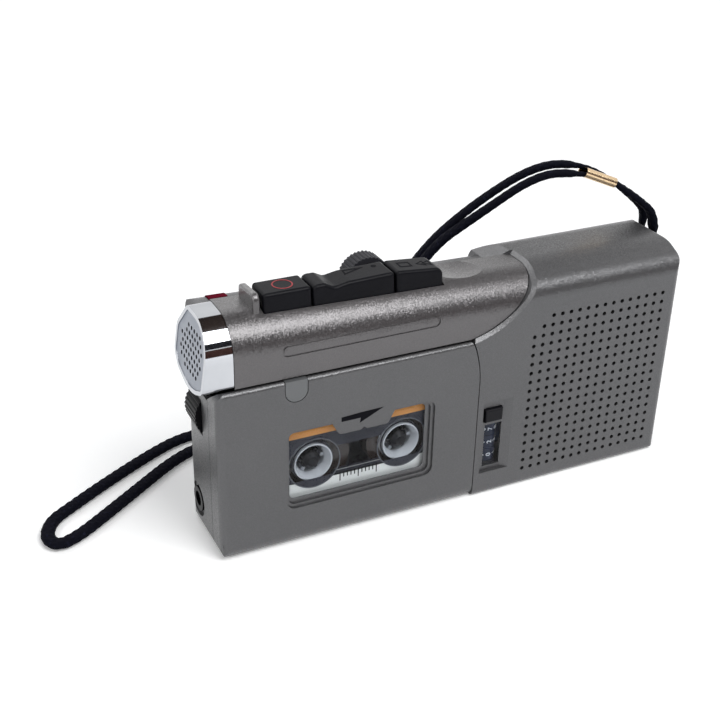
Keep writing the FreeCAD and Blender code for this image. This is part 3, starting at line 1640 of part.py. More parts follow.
def make_tape_heads():
    y0 = sled_front() - head_depth
    y1 = sled_front()
    z0 = head_low()
    main = prism("y", [
        (cassette_middle - head_width / 2, z0 + head_height),
        (cassette_middle - head_width / 2, z0 + 1.2, 0.6),
        (cassette_middle, z0, head_radius),
        (cassette_middle + head_width / 2, z0 + 1.2, 0.6),
        (cassette_middle + head_width / 2, z0 + head_height),
    ], y0, y1)
    erase_x = cassette_middle - erase_offset
    erase = prism("y", [
        (erase_x - erase_width / 2, z0 + head_height - 1.0),
        (erase_x - erase_width / 2, z0 + 0.8, 0.4),
        (erase_x, z0 + 0.2, 1.0),
        (erase_x + erase_width / 2, z0 + 0.8, 0.4),
        (erase_x + erase_width / 2, z0 + head_height - 1.0),
    ], y0, y1)
    return Part.makeCompound([main, erase])


def make_pinch_roller():
    y1 = sled_front() - 0.2
    return tube("y", capstan_x, pinch_centre_z(), pinch_radius, pinch_bore + running_gap,
                y1 - pinch_width, y1)


def dumb_bell(y0, y1, grow):
    """Two reel circles joined by a band, the shape of the cassette's window."""
    radius = hub_radius + 1.2 + grow
    band = window_band / 2 + grow
    pieces = [
        rod("y", supply_x, reel_z, radius, y0, y1),
        rod("y", takeup_x, reel_z, radius, y0, y1),
        box(supply_x, takeup_x, y0, y1, reel_z - band, reel_z + band),
    ]
    return fuse_all(pieces)


def make_cassette_shell():
    x0 = cassette_middle - cassette_length / 2
    x1 = cassette_middle + cassette_length / 2
    body = prism("y", rectangle(x0, x1, cassette_low, cassette_top, cassette_radius),
                 cassette_front + label_thickness, cassette_rear)
    room = prism("y", rectangle(x0 + cassette_wall, x1 - cassette_wall,
                                cassette_low + cassette_wall, cassette_top - cassette_wall,
                                cassette_radius / 2),
                 cassette_front + label_thickness + cassette_wall, cassette_rear - cassette_wall)
    body = body.cut(room)
    body = body.cut(dumb_bell(cassette_front - 1, cassette_front + 2, 0))
    for x in (supply_x, takeup_x):
        body = body.cut(rod("y", x, reel_z, hub_radius + hub_clearance, cassette_rear - 2,
                            cassette_rear + 1))
    opening = box(cassette_middle - tape_opening_width / 2,
                  cassette_middle + tape_opening_width / 2,
                  cassette_front + label_thickness + cassette_wall, cassette_rear + 1,
                  cassette_top - tape_opening_depth, cassette_top + 1)
    body = body.cut(opening)
    return body.cut(rod("y", capstan_x, capstan_z, capstan_radius + 0.6, cassette_front - 1,
                        cassette_rear + 1))


def make_cassette_label():
    x0 = cassette_middle - cassette_length / 2 + label_margin
    x1 = cassette_middle + cassette_length / 2 - label_margin
    label = prism("y", rectangle(x0, x1, cassette_low + label_margin,
                                 label_top, 1.0), cassette_front,
                  cassette_front + label_thickness)
    return label.cut(dumb_bell(cassette_front - 1, cassette_front + 2, 0.05))


def pack_span():
    middle = (cassette_front + label_thickness + cassette_rear) / 2
    return middle - pack_width / 2, middle + pack_width / 2


def make_hub(x):
    y0 = cassette_front + label_thickness + hub_end_gap
    y1 = cassette_rear - 0.2
    ring = tube("y", x, reel_z, hub_radius, hub_bore, y0, y1)
    teeth = []
    for index in range(hub_teeth):
        angle = 2 * math.pi * index / hub_teeth
        tooth = box(x + hub_bore - hub_tooth, x + hub_bore + 0.3, y0 + 2.4, y1 - 0.6,
                    reel_z - hub_tooth_width / 2, reel_z + hub_tooth_width / 2)
        tooth.rotate(Vector(x, 0, reel_z), Vector(0, 1, 0), math.degrees(angle))
        teeth.append(tooth)
    return fuse_all([ring] + teeth)


def make_tape_pack(x, radius):
    y0, y1 = pack_span()
    return tube("y", x, reel_z, radius, hub_radius, y0, y1)


def counter_axis_y():
    return front + counter_axis_depth


def drum_span(index):
    low = drum_low + index * (drum_height + drum_gap)
    return low, low + drum_height


def make_counter_drum(index):
    low, high = drum_span(index)
    return tube("z", counter_x, counter_axis_y(), drum_radius, drum_bore, low, high)


def make_counter_frame():
    low = drum_span(0)[0] - drum_gap
    high = drum_span(2)[1] + drum_gap
    y0 = front + wall + counter_pane_back + 0.05
    y1 = counter_axis_y() + 1.6
    x0 = counter_x - 1.8
    x1 = counter_x + 1.8
    bottom = box(x0, x1, y0, y1, low - counter_plate, low)
    top = box(x0, x1, y0, y1, high, high + counter_plate)
    axle = rod("z", counter_x, counter_axis_y(), counter_axle_radius, low - counter_plate,
               high + counter_plate)
    return Part.makeCompound([bottom.cut(axle), top.cut(axle), axle])


def make_counter_window():
    y0 = front + counter_recess
    pane = box(counter_window_left + 0.05, counter_window_right - 0.05, y0 + 0.1, front + wall,
               counter_window_low + 0.05, counter_window_high - 0.05)
    lip = box(counter_window_left - counter_pane_lip, counter_window_right + counter_pane_lip,
              front + wall, front + wall + counter_pane_back, counter_window_low - 0.1,
              counter_window_high + 0.3)
    return pane.fuse(lip).removeSplitter()


def make_reset_button():
    y0 = front + counter_recess - reset_proud
    button = box(reset_left, reset_right, y0, y0 + reset_length, reset_low, reset_high)
    button = button.makeFillet(0.4, [edge for edge in button.Edges
                                     if edge.BoundBox.YMax < y0 + 0.01])
    lip = box(reset_left, reset_right + reset_lip + 0.3, front + wall + 0.05, front + wall + 0.8,
              reset_low, reset_high + reset_lip)
    return button.fuse(lip).removeSplitter()


def make_case_screws():
    screws = []
    for x, z in corner_screws:
        head_start = rear - screw_head_height - 0.4
        shank = rod("y", x, z, screw_radius, seam_y - screw_thread + 0.5, head_start + 0.1)
        head = rod("y", x, z, screw_head_radius, head_start, head_start + screw_head_height)
        slot = box(x - 1.3, x + 1.3, head_start + screw_head_height - 0.4,
                   head_start + screw_head_height + 1, z - 0.2, z + 0.2)
        cross = box(x - 0.2, x + 0.2, head_start + screw_head_height - 0.4,
                    head_start + screw_head_height + 1, z - 1.3, z + 1.3)
        screws.append(fuse_all([shank, head]).cut(slot).cut(cross))
    return Part.makeCompound(screws)


def make_mechanism_screws():
    screws = []
    for x, z in deck_screws:
        head = rod("y", x, z, deck_screw_head, deck_rear, deck_rear + 0.8)
        shank = rod("y", x, z, deck_screw_radius, deck_rear - deck_screw_length,
                    deck_rear + 0.1)
        screws.append(fuse_all([head, shank]))
    return Part.makeCompound(screws)


def strap_route():
    """Centre line of the strap, hand-set: round the eye post, up through the ferrule,
    over in an arch, down behind the body, out past the microphone end and back."""
    bend = eye_post_radius + cord_clearance + cord_diameter / 2
    post_x = right - eye_post_inset
    return [
        Vector(post_x, eye_y - bend, eye_z),
        Vector(63.6, 4.2, 49.4),
        Vector(63.0, 5.2, 57.8),
        Vector(60.4, 7.2, 60.9),
        Vector(54.3, 10.2, 65.5),
        Vector(44.5, 13.0, 69.4),
        Vector(35.4, 17.2, 68.2),
        Vector(22.2, 22.0, 57.5),
        Vector(10.2, 25.6, 48.6),
        Vector(-2.0, 27.6, 27.0),
        Vector(-14.0, 28.4, 7.4),
        Vector(-32.0, 28.0, 1.4),
        Vector(-53.0, 24.2, 1.3),
        Vector(-68.6, 16.9, 1.3),
        Vector(-79.8, 9.9, 1.3),
        Vector(-86.9, 5.9, 1.3),
        Vector(-92.6, 5.5, 1.3),
        Vector(-96.0, 10.0, 1.3),
        Vector(-94.2, 15.6, 1.3),
        Vector(-88.4, 20.0, 1.3),
        Vector(-77.0, 25.2, 1.3),
        Vector(-60.6, 33.4, 1.3),
        Vector(-42.0, 39.0, 1.3),
        Vector(-23.0, 39.4, 3.4),
        Vector(-8.4, 37.2, 14.4),
        Vector(2.6, 33.6, 31.0),
        Vector(11.7, 29.9, 47.8),
        Vector(23.1, 25.2, 59.0),
        Vector(36.7, 20.2, 68.7),
        Vector(46.3, 15.4, 68.3),
        Vector(56.2, 12.6, 64.5),
        Vector(61.2, 10.0, 60.1),
        Vector(63.8, 9.4, 56.2),
        Vector(62.2, 8.8, 49.2),
        Vector(post_x, eye_y + bend, eye_z),
    ]


def tangent_path(points):
    """Straight runs joined by tangent arcs as large as their runs allow."""
    edges = []
    radii = []
    here = points[0]
    for index in range(1, len(points) - 1):
        before = points[index - 1]
        corner = points[index]
        after = points[index + 1]
        shorter = min((corner - before).Length, (after - corner).Length)
        turn = (corner - before).getAngle(after - corner)
        radius = 0.45 * shorter / math.tan(turn / 2)
        entry, middle, leave = corner_arc(before, corner, after, radius)
        edges.append(Part.LineSegment(here, entry).toShape())
        edges.append(Part.Arc(entry, middle, leave).toShape())
        radii.append(radius)
        here = leave
    edges.append(Part.LineSegment(here, points[-1]).toShape())
    return edges, radii


def make_strap_cord():
    route = strap_route()
    bend = eye_post_radius + cord_clearance + cord_diameter / 2
    post_x = right - eye_post_inset
    edges, radii = tangent_path(route)
    start = Vector(post_x - bend, eye_y, eye_z)
    quarter = bend * math.sqrt(0.5)
    first = Part.Arc(start, Vector(post_x - quarter, eye_y - quarter, eye_z), route[0]).toShape()
    last = Part.Arc(route[-1], Vector(post_x - quarter, eye_y + quarter, eye_z),
                    Vector(post_x - bend, eye_y + 0.02, eye_z)).toShape()
    path = Part.Wire([first] + edges + [last])
    profile = Part.Wire([Part.Circle(start, Vector(0, 1, 0), cord_diameter / 2).toShape()])
    cord = path.makePipeShell([profile], True, False)
    section_length = path.Length * math.pi * cord_diameter ** 2 / 4
    print("strap length", round(path.Length, 1), "volume", round(cord.Volume, 1), "section x length",
          round(section_length, 1), "smallest radius", round(min(radii), 1))
    print("strap radii", [round(radius, 1) for radius in radii])
    return cord


def ferrule_frame():
    """Middle of the ferrule, its direction along the strap and the way from strand to strand."""
    route = strap_route()
    along = (route[5] - route[4]).normalize()
    upper = (route[4] + route[5]) * 0.5
    lower = (route[-6] + route[-5]) * 0.5
    across = lower - upper
    across = across - along * across.dot(along)
    return (upper + lower) * 0.5, along, across


def make_strap_ferrule():
    middle, along, across = ferrule_frame()
    half_gap = across.Length / 2
    sideways = Vector(across).normalize()
    base = middle - along * (ferrule_length / 2)
    bore = cord_diameter / 2 - ferrule_squeeze
    outer = flat_tube(base, along, sideways, half_gap, bore + ferrule_wall, ferrule_length)
    inner = flat_tube(base - along, along, sideways, half_gap, bore, ferrule_length + 2)
    return outer.cut(inner)


def flat_tube(base, along, sideways, half_gap, radius, length):
    """Two round ends joined by flats, the section of a crimped ferrule."""
    upright = along.cross(sideways)
    first = base + sideways * half_gap
    second = base - sideways * half_gap
    corners = [first + upright * radius, first - upright * radius,
               second - upright * radius, second + upright * radius]
    edges = [
        Part.Arc(corners[0], first + sideways * radius, corners[1]).toShape(),
        Part.LineSegment(corners[1], corners[2]).toShape(),
        Part.Arc(corners[2], second - sideways * radius, corners[3]).toShape(),
        Part.LineSegment(corners[3], corners[0]).toShape(),
    ]
    return Part.Face(Part.Wire(edges)).extrude(along * length)


def middle_of(start, end):
    return (start + end) / 2


def make_parts():
    batteries = cell_centres()
    return {
        "front_cabinet": make_front_cabinet(),
        "rear_cabinet": make_rear_cabinet(),
        "barrel_cover": make_barrel_cover(),
        "battery_lid": make_battery_lid(),
        "cassette_lid": make_cassette_lid(),
        "lid_window": make_lid_window(),
        "lid_catch": make_lid_catch(),
        "lid_hinge_pins": make_lid_hinge_pins(),
        "cassette_springs": make_cassette_springs(),
        "mic_cap": make_mic_cap(),
        "mic_grille": make_mic_grille(),
        "mic_capsule": make_mic_capsule(),
        "record_button": make_record_button(),
        "play_button": make_play_button(),
        "stop_button": make_stop_button(),
        "record_spring": make_coil_spring(middle_of(record_left, record_right)),
        "play_spring": make_coil_spring(middle_of(play_left, play_right)),
        "stop_spring": make_coil_spring(middle_of(stop_left, stop_right)),
        "button_bridge": make_button_bridge(),
        "volume_wheel": make_volume_wheel(),
        "speed_wheel": make_speed_wheel(),
        "wheel_controls": make_wheel_controls(),
        "record_lamp": make_record_lamp(),
        "earphone_jack": make_earphone_jack(),
        "speaker_frame": make_speaker_frame(),
        "speaker_magnet": make_speaker_magnet(),
        "speaker_cone": make_speaker_cone(),
        "circuit_board": make_circuit_board(),
        "board_parts": make_board_parts(),
        "battery_lower": make_battery(batteries[0]),
        "battery_upper": make_battery(batteries[1]),
        "battery_contacts": make_battery_contacts(),
        "tape_deck": make_tape_deck(),
        "motor": make_motor(),
        "motor_pulley": make_motor_pulley(),
        "drive_belt": make_drive_belt(),
        "flywheel": make_flywheel(),
        "capstan": make_capstan(),
        "idler_gear": make_idler_gear(),
        "supply_spindle": make_supply_spindle(),
        "takeup_spindle": make_takeup_spindle(),
        "head_sled": make_head_sled(),
        "tape_heads": make_tape_heads(),
        "pinch_roller": make_pinch_roller(),
        "cassette_shell": make_cassette_shell(),
        "cassette_label": make_cassette_label(),
        "supply_hub": make_hub(supply_x),
        "takeup_hub": make_hub(takeup_x),
        "supply_tape": make_tape_pack(supply_x, supply_pack_radius),
        "takeup_tape": make_tape_pack(takeup_x, takeup_pack_radius),
        "counter_frame": make_counter_frame(),
        "counter_drum_units": make_counter_drum(0),
        "counter_drum_tens": make_counter_drum(1),
        "counter_drum_hundreds": make_counter_drum(2),
        "counter_window": make_counter_window(),
        "reset_button": make_reset_button(),
        "case_screws": make_case_screws(),
        "mechanism_screws": make_mechanism_screws(),
        "strap_cord": make_strap_cord(),
        "strap_ferrule": make_strap_ferrule(),
    }


def main():
    os.makedirs("parts", exist_ok=True)
    parts = make_parts()
    for name, shape in parts.items():
        if not shape.isValid() or not shape.Solids:
            raise ValueError(name + " is not a valid solid")
        shape.exportStep("parts/" + name + ".step")
        print(name, len(shape.Solids), round(shape.Volume, 1))


main()
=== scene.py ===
# Looks of the pocket voice recorder: materials, strap, printed marks, light and camera.
# The frame is the part's own: X along the body, Y to the back, Z up. Named sizes of the
# object are in millimetres, and MM turns them into the scene's metres.

import math

import bmesh
import bpy
from mathutils import Matrix, Vector
from mathutils.bvhtree import BVHTree
from mathutils.geometry import convex_hull_2d


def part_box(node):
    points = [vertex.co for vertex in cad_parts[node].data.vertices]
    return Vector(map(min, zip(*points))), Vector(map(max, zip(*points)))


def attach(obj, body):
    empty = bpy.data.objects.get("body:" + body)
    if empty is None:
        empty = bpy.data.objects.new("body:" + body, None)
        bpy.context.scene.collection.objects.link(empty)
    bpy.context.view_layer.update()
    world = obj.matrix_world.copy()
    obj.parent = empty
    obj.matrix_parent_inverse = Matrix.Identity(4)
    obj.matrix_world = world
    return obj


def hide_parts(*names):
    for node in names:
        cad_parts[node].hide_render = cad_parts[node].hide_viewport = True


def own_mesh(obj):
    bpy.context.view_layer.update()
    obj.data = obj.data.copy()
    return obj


MM = 0.001

# Camera of the photograph, found from the body's corners
camera_place = (-128.57, -219.23, 168.68)
camera_azimuth = -26.27
camera_elevation = 28.32
camera_roll = 1.33
camera_lens = 60.85
camera_sensor = 36.0
camera_near, camera_far = 0.01, 20

# Light, with lengths in metres: the world's share on dull surfaces, and how much the floor
# is lifted to white near the object and far from it
world_light = 0.27
world_tint = (0.93, 0.96, 1.0, 1)
light_target = (0, 0, 0.03)
floor_reach = 6.0
floor_drop = 0.0001
floor_lift, floor_far_lift = 0.19, 1.0
floor_near, floor_far = 0.25, 1.6

# Strap: a flat braid, narrow in the ferrule and at its ends, and slimmer on the high arch
strap_width, strap_thickness = 3.3, 2.1
strap_tight_width, strap_tight_thickness = 1.5, 1.3
strap_ferrule_reach = 5.0
strap_end_reach = 6.5
strap_swell = 3.6
strap_high_share = 0.72
strap_high_start, strap_high_end = 50.0, 64.0
strap_levelling = 0.08
strap_roundness = 0.8
strap_samples = 1500
strap_ring = 28
route_resolution = 24
braid_pitch = 2.3
braid_height = 0.24
braid_yarns = 5
braid_crown = 1.4
braid_second_share = 0.8

# The strap's route is the model's, with some points moved a little to follow the photograph
strap_points = [
    (57.8, 4.05, 48.7),
    (63.6, 4.2, 49.4),
    (63.0, 5.2, 57.8),
    (61.1, 6.9, 60.4),
    (53.3, 10.7, 66.2),
    (44.5, 13.2, 68.7),
    (35.4, 17.2, 68.1),
    (22.2, 22.0, 57.8),
    (10.2, 25.6, 49.0),
    (-2.0, 27.6, 27.0),
    (-14.0, 28.4, 7.4),
    (-32.0, 29.0, 1.4),
    (-47.0, 34.4, 1.3),
    (-56.6, 30.4, 1.3),
    (-68.0, 22.0, 1.3),
    (-78.6, 14.2, 1.3),
    (-85.6, 9.2, 1.3),
    (-91.2, 7.0, 1.3),
    (-93.0, 11.4, 1.3),
    (-90.2, 17.2, 1.3),
    (-85.0, 20.6, 1.3),
    (-75.4, 26.9, 1.3),
    (-60.6, 35.6, 1.3),
    (-51.6, 39.6, 1.3),
    (-42.0, 39.8, 1.3),
    (-23.0, 39.4, 3.4),
    (-8.4, 37.2, 14.4),
    (2.6, 33.6, 31.0),
    (11.7, 29.9, 47.8),
    (23.1, 25.2, 59.7),
    (36.9, 20.2, 69.5),
    (46.9, 15.4, 69.9),
    (55.2, 13.1, 65.4),
    (61.9, 9.6, 59.5),
    (63.8, 9.4, 56.2),
    (62.2, 8.8, 49.2),
    (57.8, 8.95, 48.7),
]

# Marks on the keys, as X and Y on their tops
mark_height = 0.05
mark_rise = 0.3
mark_line = 0.42
outline_step = 0.3
probe_height = 100.0
record_mark = (-40.3, -2.4)
record_mark_radius = 2.3
record_mark_points = 48
record_line = 0.3
play_triangle = [(-25.4, 0.1), (-25.7, -2.3), (-20.3, -0.4)]
play_dot = (-18.1, -0.9)
play_dot_radius = 0.6
play_dot_points = 24
stop_square = [(-12.8, -3.6), (-9.7, -3.6), (-9.7, -1.1), (-12.8, -1.1)]
rewind_arrow = [(-6.3, -3.9), (-8.5, -2.5), (-6.3, -1.1)]
rewind_count = 2
rewind_step = 1.5
rewind_line = 0.3

# Arrow on the lid's front, as X and Z
front_face = -12.3
lid_arrow_sink = 0.01
lid_arrow = [
    (-30.6, 29.75),
    (-25.9, 29.75),
    (-26.1, 28.5),
    (-20.3, 31.2),
    (-26.0, 31.1),
    (-30.6, 30.85),
]

# Gauze behind the microphone's grille, which leans as the grille does
grille_tilt = 8.1
grille_foot = (-62.3, 40.5)
gauze_depth = 1.1
gauze_thickness = 0.3
gauze_share = 0.88

# Printing on the cassette's face
cassette_front = -10.2
reel_height = 19.2
supply_x, takeup_x = -36.2, -14.2
label_left, label_right = -44.7, -6.1
label_bottom = 15.2
label_gap = 0.03
label_hole = 6.3
label_band = 3.3
label_lobe_points = 40
print_thickness = 0.04
stripe_low, stripe_high = 26.6, 28.9
stripe_margin = 0.3
tick_count = 11
tick_step = 0.92
tick_first = 4.6
tick_top = 15.1
tick_half_width = 0.12
tick_long, tick_short = 2.3, 1.4
tick_long_every = 5

# The cassette's hubs, and the rings round the label's holes as offsets from the hole's
# radius and from the cassette's front
hub_rim = 4.65
hub_rim_width = 0.3
hub_wall = 1.6
hub_cone_depth = 2.0
hub_step = 0.7
hub_teeth = 3
tooth_front_gap, tooth_back_gap = 0.4, 0.6
tooth_reach, tooth_root = 0.8, 0.3
tooth_half_width = 0.45
collar_gap = 0.03
hole_rim = [(0.15, -0.02), (0.1, -0.12), (-0.1, -0.12), (-0.15, 0.1)]
turned_sides = 72

# Figures on the counter's drums, and the one that shows on each
figure_count = 10
figure_size = 1.75
figure_stretch = 1.1
figure_row = 0.2
figure_relief = 0.03
figures_shown = {"units": 0, "tens": 2, "hundreds": 7}

# Lacquer: its flakes and the patches they lie in, in cells per metre, how much a flake
# differs in tone, and how far flakes and patches lean
flake_cells, patch_cells = 9000.0, 4400.0
flake_tone = 0.16
flake_lean, patch_lean = 0.10, 0.22

# Shade of the fine lines in bare metal, and the painted shade on the walls of the grille's holes
metal_line_shade = 0.86
painted_hole_shade = (0.02, 0.02, 0.025, 1)

# Depth in metres of the fine unevenness of paint and plastic, metal, and the braid
skin_depth = 0.00005
line_depth = 0.00003
fibre_depth = 0.0001


def new_object(name, data):
    thing = bpy.data.objects.new(name, data)
    bpy.context.scene.collection.objects.link(thing)
    return thing


def paint(thing, material):
    thing.data.materials.clear()
    thing.data.materials.append(material)


def shade_smooth(mesh):
    for polygon in mesh.polygons:
        polygon.use_smooth = True


class Nodes:
    """Short way to write a material's node tree."""

    def __init__(self, name):
        self.material = bpy.data.materials.new(name)
        self.material.use_nodes = True
        self.tree = self.material.node_tree
        self.tree.nodes.clear()
        self.output = self.add("ShaderNodeOutputMaterial")
        self.shader = self.add("ShaderNodeBsdfPrincipled")
        self.link(self.shader.outputs[0], self.output.inputs["Surface"])

    def add(self, kind, **values):
        node = self.tree.nodes.new(kind)
        for key, value in values.items():
            setattr(node, key, value)
        return node

    def link(self, source, target):
        self.tree.links.new(source, target)

    def set(self, **values):
        """Plain values on the shader's own sockets, such as coat_weight=0.2."""
        for key, value in values.items():
            name = key.replace("_", " ").title().replace("Ior", "IOR")
            self.shader.inputs[name].default_value = value

    def place(self):
        return self.add("ShaderNodeTexCoord").outputs["Object"]

    def noise(self, scale, detail=3.0, roughness=0.5, vector=None):
        node = self.add("ShaderNodeTexNoise")
        node.inputs["Scale"].default_value = scale
        node.inputs["Detail"].default_value = detail
        node.inputs["Roughness"].default_value = roughness
        self.link(vector if vector is not None else self.place(), node.inputs["Vector"])
        return node.outputs[0]

    def cells(self, scale):
        """A colour that differs from cell to cell."""
        node = self.add("ShaderNodeTexVoronoi")
        node.inputs["Scale"].default_value = scale
        self.link(self.place(), node.inputs["Vector"])
        return node.outputs["Color"]

    def ramp(self, value, first, second, start=0.3, end=0.7):
        """The first colour up to start, the second from end, and a mix between."""
        node = self.add("ShaderNodeValToRGB")
        stops = zip(node.color_ramp.elements, (start, end), (first, second))
        for element, position, color in stops:
            element.position = position
            element.color = (*color, 1)
        self.link(value, node.inputs["Fac"])
        return node.outputs["Color"]

    def range(self, value, low, high, start=0.0, end=1.0):
        """A number from low to high as the value goes from start to end."""
        node = self.add("ShaderNodeMapRange")
        node.inputs["From Min"].default_value = start
        node.inputs["From Max"].default_value = end
        node.inputs["To Min"].default_value = low
        node.inputs["To Max"].default_value = high
        self.link(value, node.inputs["Value"])
        return node.outputs[0]

    def times(self, color, factor):
        node = self.add("ShaderNodeVectorMath", operation="MULTIPLY")
        self.link(color, node.inputs[0])
        self.link(factor, node.inputs[1])
        return node.outputs[0]

    def bump(self, height, strength, distance=skin_depth):
        node = self.add("ShaderNodeBump")
        node.inputs["Strength"].default_value = strength
        node.inputs["Distance"].default_value = distance
        self.link(height, node.inputs["Height"])
        return node.outputs[0]

    def lean(self, direction, amount, normal):
        """A normal pushed aside by a colour that differs from cell to cell."""
        centred = self.add("ShaderNodeVectorMath", operation="SUBTRACT")
        centred.inputs[1].default_value = (0.5, 0.5, 0.5)
        self.link(direction, centred.inputs[0])
        push = self.add("ShaderNodeVectorMath", operation="SCALE")
        push.inputs["Scale"].default_value = amount
        self.link(centred.outputs[0], push.inputs[0])
        total = self.add("ShaderNodeVectorMath", operation="ADD")
        self.link(normal, total.inputs[0])
        self.link(push.outputs[0], total.inputs[1])
        even = self.add("ShaderNodeVectorMath", operation="NORMALIZE")
        self.link(total.outputs[0], even.inputs[0])
        return even.outputs[0]

    def bend(self, normal):
        self.link(normal, self.shader.inputs["Normal"])

    def color(self, source):
        self.link(source, self.shader.inputs["Base Color"])

    def roughness(self, source):
        self.link(source, self.shader.inputs["Roughness"])


def silver_paint(name, shade, metallic=0.75, flake=0.5, warm=1.0, coat=0.0,
                 rough=(0.32, 0.42)):
    """Metallic lacquer: flakes that each lean their own way, under a slightly uneven coat."""
    n = Nodes(name)
    flakes = n.cells(flake_cells)
    patches = n.cells(patch_cells)
    dull = (shade * 0.96 * warm, shade * 0.965, shade)
    bright = (shade * 1.01 * warm, shade * 1.01, shade * 1.045)
    tone = n.range(flakes, low=1 - flake_tone * flake, high=1 + flake_tone * flake)
    n.color(n.times(n.ramp(n.noise(scale=60.0), dull, bright), tone))
    n.set(metallic=metallic, coat_weight=coat, coat_roughness=0.3)
    n.roughness(n.range(n.noise(scale=1500.0, detail=2.0), *rough))
    uneven = n.bump(n.noise(scale=4200.0, roughness=0.7), strength=0.3)
    leaning = n.lean(flakes, flake_lean * flake, uneven)
    n.bend(n.lean(patches, patch_lean * flake, leaning))
    n.link(leaning, n.shader.inputs["Coat Normal"])
    return n.material


def plastic(name, color, rough=(0.38, 0.5), grain=2600.0, depth=0.25, spread=0.15, shine=0.5):
    """Moulded plastic with a fine eroded skin and slightly uneven colour."""
    n = Nodes(name)
    dark = tuple(c * (1 - spread) for c in color)
    light = tuple(min(1.0, c * (1 + spread)) for c in color)
    n.color(n.ramp(n.noise(scale=220.0, detail=4.0, roughness=0.6), dark, light))
    n.set(specular_ior_level=shine)
    n.roughness(n.range(n.noise(scale=700.0), *rough))
    n.bend(n.bump(n.noise(grain, detail=2.0, roughness=0.6), depth))
    return n.material


def metal(name, color, rough=(0.2, 0.35), stretch=(1.0, 1.0, 30.0), depth=0.15):
    """Bare metal with fine lines along one direction."""
    n = Nodes(name)
    mapping = n.add("ShaderNodeMapping")
    mapping.inputs["Scale"].default_value = stretch
    n.link(n.place(), mapping.inputs["Vector"])
    lines = n.noise(scale=300.0, detail=4.0, roughness=0.6, vector=mapping.outputs[0])
    dark = tuple(c * metal_line_shade for c in color)
    n.color(n.ramp(lines, dark, color))
    n.set(metallic=1.0)
    n.roughness(n.range(lines, *rough))
    n.bend(n.bump(lines, depth, line_depth))
    return n.material


def chrome(name):
    """Bright plating with faint smudges."""
    n = Nodes(name)
    smudge = n.noise(scale=120.0)
    n.color(n.ramp(smudge, (0.50, 0.515, 0.545), (0.56, 0.575, 0.60)))
    n.set(metallic=1.0)
    n.roughness(n.range(smudge, low=0.03, high=0.09))
    n.bend(n.bump(n.noise(scale=90.0, detail=2.0), strength=0.05))
    return n.material


def clear_plastic(name, tint, gloss_share):
    """Thin clear pane: see-through, with a reflection and faint scratches on its outside."""
    n = Nodes(name)
    n.tree.nodes.remove(n.shader)
    clear = n.add("ShaderNodeBsdfTransparent")
    clear.inputs["Color"].default_value = (*tint, 1)
    gloss = n.add("ShaderNodeBsdfGlossy")
    gloss.inputs["Color"].default_value = (1, 1, 1, 1)
    scratches = n.noise(scale=900.0, detail=4.0, roughness=0.7)
    n.link(n.range(scratches, low=0.02, high=0.10), gloss.inputs["Roughness"])
    fresnel = n.add("ShaderNodeFresnel")
    fresnel.inputs["IOR"].default_value = 1.45
    inner = n.add("ShaderNodeNewGeometry").outputs["Backfacing"]
    share = n.add("ShaderNodeMath", operation="MULTIPLY")
    n.link(n.range(fresnel.outputs[0], low=0.0, high=gloss_share), share.inputs[0])
    n.link(n.range(inner, low=1.0, high=0.0), share.inputs[1])
    mix = n.add("ShaderNodeMixShader")
    n.link(share.outputs[0], mix.inputs[0])
    n.link(clear.outputs[0], mix.inputs[1])
    n.link(gloss.outputs[0], mix.inputs[2])
    n.link(mix.outputs[0], n.output.inputs["Surface"])
    return n.material


def braid_material(name):
    """Black polyester braid: fine fibres along each yarn, and painted glints, where some fibres
    are painted lighter as if they caught more light.
    """
    n = Nodes(name)
    fibre = n.noise(scale=5200.0, detail=4.0, roughness=0.7)
    # Painted glints: scattered cells of fibres are made up to 2.6 times lighter in colour
    lift = n.range(n.cells(1500.0), low=1.0, high=2.6, start=0.75, end=0.95)
    yarn = n.ramp(fibre, (0.0015, 0.0015, 0.0035), (0.005, 0.0055, 0.011), start=0.25, end=0.75)
    n.color(n.times(yarn, lift))
    n.set(specular_ior_level=0.05)
    n.roughness(n.range(n.noise(scale=1600.0), low=0.6, high=0.85))
    n.bend(n.bump(fibre, strength=0.6, distance=fibre_depth))
    return n.material


def grille_paint(name):
    """Pale satin paint on the plate's face, with painted shade on the punched holes' walls,
    which are coloured dark.
    """
    n = Nodes(name)
    facing = n.add("ShaderNodeVectorMath", operation="DOT_PRODUCT")
    n.link(n.add("ShaderNodeNewGeometry").outputs["Normal"], facing.inputs[0])
    lean = math.radians(grille_tilt)
    facing.inputs[1].default_value = (-math.cos(lean), 0, math.sin(lean))
    broad = n.noise(scale=220.0, detail=4.0, roughness=0.6)
    face = n.ramp(broad, (0.36, 0.39, 0.45), (0.41, 0.44, 0.50))
    mix = n.add("ShaderNodeMix", data_type="RGBA")
    # Painted shade: surfaces that don't face out of the plate, the holes' walls, get the dark
    # colour
    on_face = n.range(facing.outputs["Value"], low=0.0, high=1.0, start=0.5, end=0.8)
    n.link(on_face, mix.inputs["Factor"])
    for socket in mix.inputs:
        if socket.type == "RGBA" and socket.name == "A":
            socket.default_value = painted_hole_shade
        if socket.type == "RGBA" and socket.name == "B":
            n.link(face, socket)
    for socket in mix.outputs:
        if socket.type == "RGBA":
            n.color(socket)
    n.set(specular_ior_level=0.3)
    n.roughness(n.range(n.noise(scale=700.0), low=0.30, high=0.42))
    n.bend(n.bump(n.noise(scale=2600.0, detail=2.0, roughness=0.6), strength=0.1))
    return n.material


